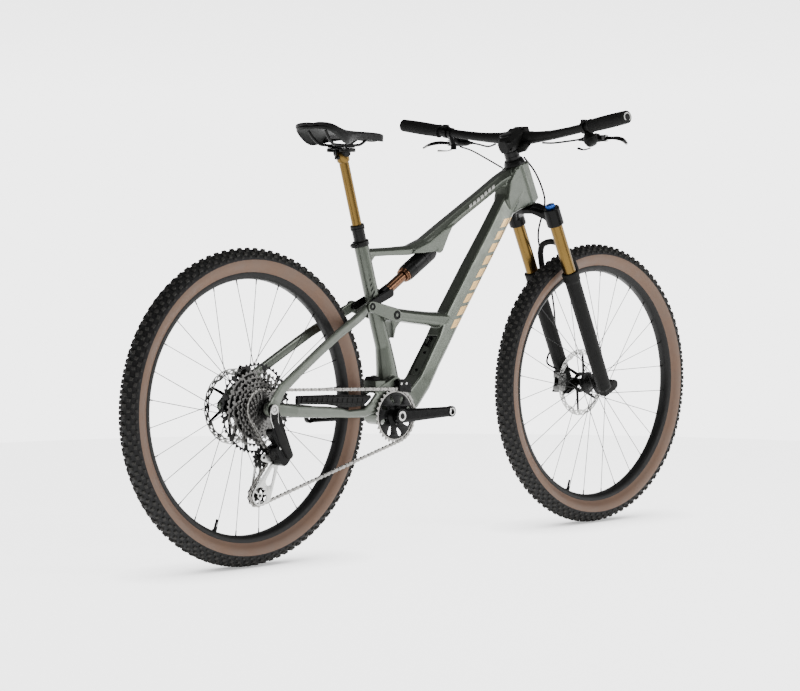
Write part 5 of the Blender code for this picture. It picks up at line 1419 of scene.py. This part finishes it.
SADDLE = (
    # x, half width, top, droop of the wings, thickness
    (-0.4130, 0.0300, 1.0380, 0.0015, 0.0050),
    (-0.4100, 0.0520, 1.0400, 0.0045, 0.0062),
    (-0.4020, 0.0660, 1.0405, 0.0110, 0.0075),
    (-0.3880, 0.0715, 1.0390, 0.0200, 0.0085),
    (-0.3700, 0.0720, 1.0345, 0.0280, 0.0092),
    (-0.3530, 0.0690, 1.0300, 0.0295, 0.0098),
    (-0.3350, 0.0600, 1.0262, 0.0230, 0.0105),
    (-0.3150, 0.0490, 1.0238, 0.0150, 0.0112),
    (-0.2900, 0.0375, 1.0224, 0.0095, 0.0122),
    (-0.2650, 0.0305, 1.0218, 0.0068, 0.0130),
    (-0.2350, 0.0252, 1.0212, 0.0056, 0.0150),
    (-0.2100, 0.0218, 1.0202, 0.0052, 0.0166),
    (-0.1950, 0.0190, 1.0190, 0.0048, 0.0166),
    (-0.1850, 0.0145, 1.0170, 0.0038, 0.0150),
    (-0.1790, 0.0085, 1.0145, 0.0020, 0.0110),
    (-0.1768, 0.0035, 1.0115, 0.0006, 0.0050),
)


def saddle_shape(name, stations, width=1.0, drop=0.0, thick=None, groove=0.0):
    """A thin arched shell through the saddle's stations."""
    columns = 24
    rows = []
    for x, half, top, droop, body in stations:
        depth = body if thick is None else thick
        arch = []
        for k in range(columns + 1):
            u = -1 + 2 * k / columns
            dip = groove * math.exp(-((u * half / 0.0075) ** 2))
            arch.append((u, top - drop - droop * abs(u) ** 2.3 - dip))
        outer = [side(x, z, half * width * math.sin(u * math.pi / 2)) for u, z in arch]
        under = [(u, z - depth) for u, z in reversed(arch)]
        inner = [side(x, z, half * width * 0.93 * math.sin(u * math.pi / 2)) for u, z in under]
        rows.append(outer + inner)
    return grid_mesh(name, rows, close_columns=True, cap=True)


def make_saddle():
    """A padded cover with a shallow groove, over a grey base with a black hollow, on two rails."""
    stations = []
    count = 40
    for k in range(count + 1):
        t = k / count * (len(SADDLE) - 1)
        i = min(int(t), len(SADDLE) - 2)
        before, here = SADDLE[max(i - 1, 0)], SADDLE[i]
        after, beyond = SADDLE[i + 1], SADDLE[min(i + 2, len(SADDLE) - 1)]
        stations.append(tuple(between(*four, t - i) for four in zip(before, here, after, beyond)))
    cover = saddle_shape("saddle_cover", stations, groove=0.0022)
    piece = add_piece("saddle_cover", cover, "leather", "dropper", ("saddle",), 50)
    rear = [s for s in stations if s[0] < -0.318]
    base = saddle_shape("saddle_base", rear, 0.955, 0.0088, 0.0050)
    add_piece("saddle_base", base, "grey_panel", "dropper", sharp=50)
    front = [s for s in stations if -0.335 < s[0] < -0.240]
    belly = saddle_shape("saddle_belly", front, 0.86, 0.0105, 0.0035)
    add_piece("saddle_belly", belly, "gloss_black", "dropper", sharp=50)
    rails = []
    for y in (-0.0220, 0.0220):
        route = [
            side(-0.3930, 1.0200, y * 1.35),
            side(-0.3830, 1.0060, y * 1.25),
            side(-0.3650, 0.9905, y * 1.08),
            side(-0.3450, 0.9870, y),
            side(-0.2850, 0.9870, y),
            side(-0.2620, 0.9925, y * 0.92),
            side(-0.2400, 1.0060, y * 0.72),
            side(-0.2300, 1.0120, y * 0.60),
        ]
        rails.append(swept("rail", smooth_path(route), 0.0035, 16))
    add_piece("saddle_rails", merged("rails", rails), "black_alloy", "dropper")


# ---------------------------------------------------------------- cockpit

BAR_CENTRE = side(0.3221, 1.0190)
MASTER_OUT, REMOTE_OUT = 0.2400, 0.2250
GRIP_START, GRIP_END = 0.2620, 0.3885
MARK_R, MARK_STEPS = 0.0105, 32
BAR_STATIONS = (
    # behind the centre, out, above, radius
    (0.0000, 0.0000, 0.0000, 0.0172),
    (0.0000, 0.0300, 0.0000, 0.0172),
    (0.0010, 0.0480, 0.0006, 0.0165),
    (0.0015, 0.0620, 0.0010, 0.0150),
    (0.0060, 0.1200, 0.0050, 0.0122),
    (0.0130, 0.1800, 0.0120, 0.0112),
    (0.0156, 0.2050, 0.0155, 0.0111),
    (0.0316, 0.3870, 0.0423, 0.0110),
)


def bar_point(y):
    """The bar's centre at a distance out, on its straight outer stretch."""
    inner, outer = BAR_STATIONS[-2], BAR_STATIONS[-1]
    share = (abs(y) - inner[1]) / (outer[1] - inner[1])
    back = inner[0] + (outer[0] - inner[0]) * share
    rise = inner[2] + (outer[2] - inner[2]) * share
    return Vector((BAR_CENTRE.x - back, y, BAR_CENTRE.z + rise))


def make_bar():
    """A riser bar that swells towards the stem, with its two grips."""
    half = [(BAR_CENTRE + Vector((-b, -o, a)), r) for b, o, a, r in BAR_STATIONS]
    other = [(Vector((p.x, -p.y, p.z)), r) for p, r in half[1:]]
    whole = half[::-1] + other
    path = smooth_path([p for p, _ in whole], 6)
    radii = spaced([r for _, r in whole], len(path))
    tube = swept("handlebar", path, radii, 32)
    add_piece("handlebar_tube", tube, "satin_black", "steering", ("handlebar",), 60)
    for name, way in (("right", -1), ("left", 1)):
        start, end = bar_point(way * GRIP_START), bar_point(way * GRIP_END)
        axis = end - start
        length = axis.length
        profile = [(0.0116, 0.0), (0.0172, 0.0), (0.0178, 0.0012), (0.0172, 0.0040), (0.0152, 0.0052)]
        ribs = 30
        step = (length - 0.0140) / ribs
        for k in range(ribs):
            at = 0.0065 + (length - 0.0140) * k / ribs
            swell = 0.0156 + 0.0009 * math.sin(math.pi * k / ribs)
            profile += [(swell, at), (swell + 0.0007, at + step * 0.2), (swell + 0.0007, at + step * 0.7)]
            profile += [(swell, at + step * 0.9)]
        profile += [(0.0162, length - 0.0060), (0.0160, length - 0.0012), (0.0148, length), (0.0001, length)]
        profile += [(0.0001, length - 0.0020), (0.0116, length - 0.0020)]
        grip = turned("grip", profile, start, axis, sides=72, closed=True)
        for vertex in grip.vertices:
            offset = vertex.co - start
            radial = offset - axis * (offset.dot(axis) / axis.length_squared)
            around = math.atan2(radial.z, radial.x)
            if radial.length > 0.0150:
                vertex.co += radial.normalized() * 0.0003 * math.sin(around * 24)
        add_piece("grip_" + name + "_sleeve", grip, "grip_rubber", "steering", ("grip_" + name,),
                  50)
        out = axis.normalized()
        _, first, second = basis(out)
        arc_points = []
        for k in range(MARK_STEPS + 1):
            a = math.radians(-140 + 280 * k / MARK_STEPS)
            around_it = first * (MARK_R * math.cos(a)) + second * (MARK_R * math.sin(a))
            arc_points.append(end + out * 0.0003 + around_it)
        mark = swept("grip_mark", arc_points, 0.0016, 10, (out, 0.35))
        add_piece("grip_mark_" + name, mark, "pale", "steering")


def make_stem():
    """A short stem with a four-bolt face, a top cap, the spacers under it and the hoses' cover."""
    low, high = steer(0, 0.6950), steer(0, 0.7360)
    up = (high - low).normalized()
    ahead = (steer(1, 0) - steer(0, 0)).normalized()
    turn = Matrix((ahead, Y, up)).transposed().to_4x4()
    body = [
        ((-0.0235, 0.6960), (-0.0215, 0.7290), 0.0150, 0.0135),
        ((-0.0130, 0.6945), (-0.0120, 0.7370), 0.0235, 0.0205),
        ((0.0080, 0.6960), (0.0060, 0.7400), 0.0255, 0.0215),
        ((0.0250, 0.7020), (0.0230, 0.7400), 0.0245, 0.0215),
        ((0.0400, 0.7060), (0.0380, 0.7420), 0.0250, 0.0235),
    ]
    rows = []
    for (a_low, s_low), (a_high, s_high), wide_low, wide_high in body:
        middle = (s_low + s_high) / 2
        spread = max(wide_low, wide_high) + 0.0020
        a_middle = (a_low + a_high) / 2
        rows.append(
            [
                steer(a_low, s_low, -wide_low * 0.72),
                steer(a_middle, middle - 0.006, -spread),
                steer(a_middle, middle + 0.008, -spread * 0.93),
                steer(a_high, s_high, -wide_high * 0.66),
                steer(a_high, s_high, wide_high * 0.66),
                steer(a_middle, middle + 0.008, spread * 0.93),
                steer(a_middle, middle - 0.006, spread),
                steer(a_low, s_low, wide_low * 0.72),
            ]
        )
    block = grid_mesh("stem", rows, close_columns=True, cap=True)
    add_piece("stem_body", evened(linked("guide", block), 0.0022, 3), "satin_black", "steering", ("stem",),
              25)
    face = [rod("face_clamp", BAR_CENTRE - Y * 0.0245, BAR_CENTRE + Y * 0.0245, 0.0212, sides=48,
                edge=0.0015)]
    turn.translation = BAR_CENTRE
    face.append(rounded_block("face_plate", (0.0040, -0.0235, -0.0235), (0.0235, 0.0235, 0.0235), 0.0030,
                              turn))
    add_piece("stem_face", merged("face", face), "satin_black", "steering")
    bolts = []
    for y in (-0.0155, 0.0155):
        for z in (-0.0175, 0.0175):
            spot = turn @ Vector((0.0225, y, z))
            bolts.append(rod("bolt", spot, spot + ahead * 0.0030, 0.0036, sides=20))
    for s_at in (0.7030, 0.7230):
        spot = steer(-0.0180, s_at, -0.0210)
        bolts.append(rod("pinch", spot - Y * 0.0035, spot + Y * 0.0060, 0.0036, sides=20))
    cap = steer(0, 0.7362)
    bolts.append(turned("cap", [(0.0165, 0.0), (0.0165, 0.0030), (0.0130, 0.0045), (0.0060, 0.0048)], cap, up,
                        sides=40))
    add_piece("stem_bolts", merged("stem_bolts", bolts), "gloss_black", "steering")
    profile = [
        (0.0146, 0.6578), (0.0272, 0.6578), (0.0278, 0.6590), (0.0274, 0.6615), (0.0242, 0.6690),
        (0.0232, 0.6705), (0.0195, 0.6712), (0.0192, 0.6720), (0.0196, 0.6728), (0.0196, 0.6810),
        (0.0190, 0.6818), (0.0196, 0.6826), (0.0196, 0.6940), (0.0146, 0.6950),
    ]
    stack = turned("stack", profile, steer(0, 0), up, sides=56, closed=True)
    add_piece("headset_stack", stack, "black_alloy", "steering", ("headset_spacers",), 30)
    cover = swept(
        "hose_cover",
        [steer(0.0180, 0.7060, -0.052), steer(0.0200, 0.6960, -0.030), steer(0.0210, 0.6920, 0.0),
         steer(0.0200, 0.6960, 0.030), steer(0.0180, 0.7060, 0.052)],
        [0.0060, 0.0120, 0.0150, 0.0120, 0.0060],
        20,
    )
    add_piece("hose_cover", cover, "satin_black", "steering")


def make_control(name, way):
    """A brake master on its hinged clamp: arm, cylinder, reservoir, ears, screws and hose boot."""
    centre = bar_point(way * MASTER_OUT)
    axis = (bar_point(way * 0.30) - bar_point(way * 0.20)).normalized()

    def near(x, y, z):
        return centre + Vector((x, way * y, z))

    parts = []
    ring_profile = [(0.0112, -0.0065), (0.0150, -0.0065), (0.0162, -0.0050), (0.0162, 0.0050),
                    (0.0150, 0.0065),
                    (0.0112, 0.0065)]
    parts.append(turned("clamp", ring_profile, centre, axis, sides=40, closed=True))
    shape = [near(0.0140, -0.0005, -0.0110), near(0.0290, -0.0030, -0.0200), near(0.0430, -0.0060, -0.0265)]
    parts.append(swept("arm", smooth_path(shape, 4), [0.0085, 0.0075, 0.0070] + [0.0070] * 6, 14, (Y, 1.2)))
    inner, outer = near(0.0425, -0.0440, -0.0280), near(0.0455, 0.0215, -0.0265)
    cylinder = smooth_path([inner, inner.lerp(outer, 0.2), inner.lerp(outer, 0.6), outer], 6)
    parts.append(swept("cylinder", cylinder, spaced([0.0055, 0.0088, 0.0098, 0.0085], len(cylinder)), 24))
    tilt = Matrix.Rotation(math.radians(-2 * way), 4, "X")
    tilt = Matrix.Translation(near(0.0440, -0.0120, -0.0205)) @ tilt
    parts.append(rounded_block("reservoir", (-0.0085, -0.0190, -0.0050), (0.0085, 0.0190, 0.0070), 0.0032,
                               tilt))
    for z in (-0.0068, 0.0068):
        parts.append(rounded_block("ear", (-0.0080, -0.0060, -0.0014), (0.0080, 0.0075, 0.0014), 0.0012,
                                   Matrix.Translation(near(0.0455, 0.0260, -0.0265 + z))))
    add_piece("brake_master_" + name + "_body", merged("master", parts), "gloss_black", "steering",
              ("brake_master_" + name,), 35)
    screws = []
    pivot = near(0.0455, 0.0290, -0.0265)
    screws.append(rod("pivot_pin", pivot - Z * 0.0090, pivot + Z * 0.0090, 0.0030, sides=18))
    for y in (-0.0235, -0.0005):
        spot = near(0.0440, y, -0.0145)
        screws.append(rod("screw", spot, spot + Z * 0.0022, 0.0026, sides=16))
    lug = centre + Vector((-0.0030, 0, 0.0165))
    screws.append(rod("clamp_bolt", lug - X * 0.0060, lug + X * 0.0070, 0.0035, sides=18))
    add_piece("brake_master_" + name + "_screws", merged("screws", screws), "silver", "steering")
    hinge = rounded_block("hinge", (-0.0080, -0.0060, -0.0045), (0.0080, 0.0060, 0.0045), 0.002,
                          Matrix.Translation(lug - Z * 0.0010))
    boot = swept("boot", [near(0.0425, -0.0440, -0.0280), near(0.0415, -0.0560, -0.0290)], [0.0048, 0.0034],
                 16)
    add_piece("brake_master_" + name + "_boot", merged("boot", [hinge, boot]), "grip_rubber", "steering")
    make_blade(name, way, pivot)


def make_blade(name, way, pivot):
    """A flat lever blade with a dished middle and a hooked bright tip."""
    if way < 0:
        offsets = [(0, 0, 0), (0.0020, 0.0180, 0), (-0.0050, 0.0420, -0.0010), (-0.0140, 0.0680, -0.0060),
                   (-0.0210, 0.0880, -0.0170)]
    else:
        offsets = [(0, 0, 0), (0.0020, 0.0180, 0), (-0.0020, 0.0400, 0.0010), (-0.0090, 0.0660, -0.0030),
                   (-0.0170, 0.0860, -0.0130)]
    path = smooth_path([pivot + Vector((x, way * y, z)) for x, y, z in offsets], 8)
    radii = spaced([0.0062, 0.0050, 0.0044, 0.0052, 0.0056, 0.0054, 0.0046, 0.0034], len(path))
    cut = int(len(path) * 0.80)
    flat = (Vector((0.86, 0, -0.5)), 0.55)
    arm = swept("blade", path[: cut + 1], radii[: cut + 1], 20, flat)
    add_piece("brake_blade_" + name + "_arm", arm, "gloss_black", "brake_lever_" + name,
              ("brake_blade_" + name,),
              50)
    tip = swept("blade_tip", path[cut:], [r * 1.03 for r in radii[cut:]], 20, flat)
    add_piece("brake_blade_" + name + "_tip", tip, "silver", "brake_lever_" + name,
              sharp=50)


def make_shifters():
    """The shifter's pod and paddle on the right, and the dropper post's remote on the left."""
    base = bar_point(-0.2600) + Vector((0.0100, 0, -0.0480))
    pod = [
        (0.0060, 0.0), (0.0118, 0.0016), (0.0150, 0.0060), (0.0168, 0.0120), (0.0172, 0.0180),
        (0.0160, 0.0240), (0.0120, 0.0330), (0.0070, 0.0380),
    ]
    way = Vector((0, 0.0200, 0.0340)).normalized()
    body = turned("pod", pod, base, way, sides=40)
    rim = turned("rim", [(0.0170, 0.0140), (0.0178, 0.0150), (0.0178, 0.0175), (0.0170, 0.0185)], base, way,
                 sides=40, closed=True)
    arm = swept("pod_arm", [base + way * 0.030, bar_point(-0.2520) - Z * 0.012], [0.0075, 0.0065], 16)
    pieces = merged("pod", [body, rim, arm])
    add_piece("shifter_pod", pieces, "satin_black", "steering", sharp=40)
    start = base + Vector((-0.0100, 0.0, -0.0072))
    paddle_path = smooth_path([start, start + Vector((-0.0080, 0.0150, -0.0040)),
                               start + Vector((-0.0120, 0.0300, 0))])
    paddle = swept("paddle", paddle_path, spaced([0.0030, 0.0036, 0.0062], len(paddle_path)), 16, (Z, 0.5))
    add_piece("shift_paddle_arm", paddle, "gloss_black", "shift_paddle", ("shift_paddle",), 50)
    start = bar_point(REMOTE_OUT) + Vector((0.0100, 0, -0.0410))
    route = [start, start + Vector((-0.0100, 0.0120, -0.0060)), start + Vector((-0.0180, 0.0380, -0.0060))]
    path = smooth_path(route)
    lever = swept("remote", path, spaced([0.0042, 0.0036, 0.0075], len(path)), 18, (Z, 0.45))
    add_piece("dropper_remote_paddle", lever, "silver", "dropper_remote", ("dropper_remote",),
              50)
    mount = [swept("mount", [bar_point(REMOTE_OUT) - Z * 0.010, start + Z * 0.0060], [0.0062, 0.0055], 16)]
    mount.append(rod("remote_hub", start - Z * 0.0030, start + Z * 0.0110, 0.0080, sides=28))
    mount.append(turned("band", [(0.0112, -0.0045), (0.0140, -0.0045), (0.0140, 0.0045), (0.0112, 0.0045)],
                        bar_point(REMOTE_OUT), bar_point(0.30) - bar_point(0.20), sides=36, closed=True))
    add_piece("remote_mount", merged("mount", mount), "gloss_black", "steering")


def make_hoses():
    """Round hoses on the CAD's routes, except that the front brake hose bows out a little more."""
    centre, other = bar_point(MASTER_OUT), bar_point(-MASTER_OUT)
    routes = {
        "hose_left": ("steering", 0.0025, [
            centre + Vector((0.0430, -0.0430, -0.0270)),
            centre + Vector((0.0380, -0.0800, -0.0330)),
            Vector((0.3300, 0.1150, 1.0000)),
            Vector((0.3220, 0.0820, 1.0050)),
        ]),
        "hose_right": ("steering", 0.0025, [
            other + Vector((0.0430, 0.0430, -0.0270)),
            other + Vector((0.0380, 0.0800, -0.0310)),
            Vector((0.3280, -0.1150, 1.0040)),
            Vector((0.3220, -0.0820, 1.0050)),
        ]),
        "dropper_cable": (None, 0.0022, [
            bar_point(0.2100) + Vector((0.0180, 0, -0.0340)),
            Vector((0.3180, 0.1600, 0.9890)),
            Vector((0.3050, 0.0900, 0.9640)),
            Vector((0.2940, 0.0310, 0.9420)),
        ]),
        "front_brake_hose": (None, 0.0025, [
            Vector((0.3430, 0.0, 0.9700)),
            Vector((0.3850, 0.0, 0.9330)),
            Vector((0.4158, 0.0, 0.8855)),
            Vector((0.4279, 0.0040, 0.8465)),
            Vector((0.4450, 0.0400, 0.7810)),
            Vector((0.4780, 0.0640, 0.7300)),
            Vector((0.5350, 0.0850, 0.6500)),
            Vector((0.5594, 0.0920, 0.6064)),
            Vector((0.5720, 0.0930, 0.5300)),
            Vector((0.5620, 0.0945, 0.4700)),
            Vector((0.5430, 0.0930, 0.4420)),
            Vector((0.5260, 0.0780, 0.4240)),
            Vector((0.5320, 0.0520, 0.4110)),
        ]),
    }
    for name, (body, radius, route) in routes.items():
        path = smooth_path(route, 10)
        tube = swept(name, path, radius, 14)
        piece = add_piece(name + "_tube", tube, "hose", body, (name,), 60)
        if name == "dropper_cable":
            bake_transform(piece)
        if name == "front_brake_hose":
            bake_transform(piece)


def make_cockpit():
    make_bar()
    make_stem()
    make_control("right", -1)
    make_control("left", 1)
    make_shifters()
    make_hoses()


# ---------------------------------------------------------------- build


def make_camera_and_light():
    """The photo's view, from behind and to the right, under four soft lamps."""
    target = side(-0.1129, 0.4983)
    azimuth, elevation, distance = math.radians(-45.20), math.radians(2.863), 6.1655
    flat = distance * math.cos(elevation)
    rise = distance * math.sin(elevation)
    place = target + Vector((flat * math.sin(azimuth), -flat * math.cos(azimuth), rise))
    data = bpy.data.cameras.new("camera")
    data.sensor_width = 36.0
    data.lens = 112.40
    data.clip_end = 60
    camera = linked("camera", data)
    camera.location = place
    camera.rotation_euler = (target - place).to_track_quat("-Z", "Y").to_euler()
    bpy.context.scene.camera = camera
    for name, spot, size, power in (
        ("key", (1.6, -5.4, 2.6), 2.6, 260),
        ("strip", (4.2, -3.4, 1.2), 2.2, 50),
        ("top", (-0.3, -0.8, 4.8), 2.6, 60),
        ("rim", (-4.4, 2.4, 2.4), 1.6, 35),
    ):
        light = bpy.data.lights.new(name, "AREA")
        light.shape = "DISK"
        light.size = size
        light.energy = power
        lamp = linked(name, light)
        lamp.location = spot
        lamp.rotation_euler = (side(0, 0.5) - Vector(spot)).to_track_quat("-Z", "Y").to_euler()
    make_world()


def make_world():
    """A studio that is bright low down and darker overhead, and brightest behind the bike."""
    world = bpy.data.worlds.new("studio")
    world.use_nodes = True
    tree = Nodes(world.node_tree)
    coordinates = tree.node("ShaderNodeTexCoord").outputs["Generated"]
    split = tree.node("ShaderNodeSeparateXYZ", Vector=coordinates).outputs
    height = tree.spread(split["Z"], 0.05, 0.30, 1.0, 0.08)
    around = tree.spread(tree.sum(split["X"], split["Y"]), -0.4, 1.0, 0.65, 4.2)
    background = tree.nodes["Background"]
    background.inputs["Color"].default_value = (1.0, 1.0, 1.0, 1)
    tree.feed(background.inputs["Strength"], tree.sum(height, around, "MULTIPLY"))
    bpy.context.scene.world = world


def make_floor():
    """A round pale floor that glows, with a painted contact shadow: the glow dims where something stands
    close to it.
    """
    rows = []
    for radius in (0.0005, 1.0, 2.0, 3.2):
        turns = [a / 48 * math.pi for a in range(96)]
        rows.append([side(radius * math.cos(a), 0, radius * math.sin(a)) for a in turns])
    floor = linked("floor", grid_mesh("floor", rows, close_columns=True))
    look = Look("floor", (0.80, 0.80, 0.80), 0.8, Specular_IOR_Level=0.1)
    look.tint(look.noise(3, 2), (0.79, 0.79, 0.79), (0.82, 0.82, 0.82))
    look.set("Emission Color", (1, 1, 1, 1))
    # Painted contact shadow: ambient occlusion dims the floor's glow under and near the bike.
    painted_contact_shadow = look.node("ShaderNodeAmbientOcclusion", Distance=0.16).outputs["AO"]
    look.links.new(look.spread(painted_contact_shadow, 0.35, 1.0, 0.3, 3.2), look.shader.inputs["Emission Strength"])
    floor.data.materials.append(look.material)


def dress_cad():
    """Every CAD node that stays on show takes a look of its own."""
    looks = {
        "paint": ["front_triangle", "storage_door", "chainstay", "seatstay_right", "seatstay_left",
                  "rocker_right", "rocker_left"],
        "black_alloy": [
            "seat_clamp", "dropper_outer", "bottom_bracket", "door_latch", "rear_axle", "shock_can",
            "front_rim", "rear_rim", "front_hub", "rear_hub", "stem", "headset_spacers", "handlebar",
            "brake_master_right", "brake_master_left", "brake_blade_left", "brake_blade_right",
        ],
        "satin_black": [
            "chain_guide", "rear_caliper", "derailleur_body", "shock_yoke", "crank_right", "crank_left",
            "chainring", "guide_pulley", "tension_pulley", "fork_crown", "fork_lowers", "shift_paddle",
        ],
        "silver": ["derailleur_cage", "front_caliper", "dropper_remote"],
        "rotor": ["front_rotor", "rear_rotor"],
        "dark_steel": ["cassette", "chain"],
        "spoke": ["front_spokes", "rear_spokes"],
        "gold_fork": ["stanchion_left", "stanchion_right"],
        "gold_post": ["dropper_post"],
        "bronze": ["shock_shaft"],
        "rubber": ["front_tyre", "rear_tyre", "chainstay_guard"],
        "grip_rubber": ["grip_left", "grip_right"],
        "hose": ["hose_left", "hose_right", "dropper_cable", "front_brake_hose"],
        "blue": ["fork_dial"],
        "leather": ["saddle"],
    }
    for look, nodes in looks.items():
        for node in nodes:
            mesh = NODES[node].data
            mesh.materials.clear()
            mesh.materials.append(LOOKS[look].material)


def make_everything():
    dress_cad()
    make_camera_and_light()
    make_floor()
    make_wheel("rear", REAR_AXLE, "rear_wheel", -0.0205, 0.0300, (-0.0262, 0.0730), 0.0480)
    make_wheel("front", FRONT_AXLE, "front_wheel", -0.0260, 0.0180, (-0.0540, 0.0540), 0.0430)
    make_cassette()
    make_chain()
    make_chainring()
    make_pulley("guide_pulley", GUIDE_PULLEY, "guide_pulley")
    make_pulley("tension_pulley", TENSION_PULLEY, "tension_pulley")
    make_frame()
    make_cranks()
    make_derailleur()
    make_fork()
    make_shock()
    make_post()
    make_saddle()
    make_cockpit()


make_everything()
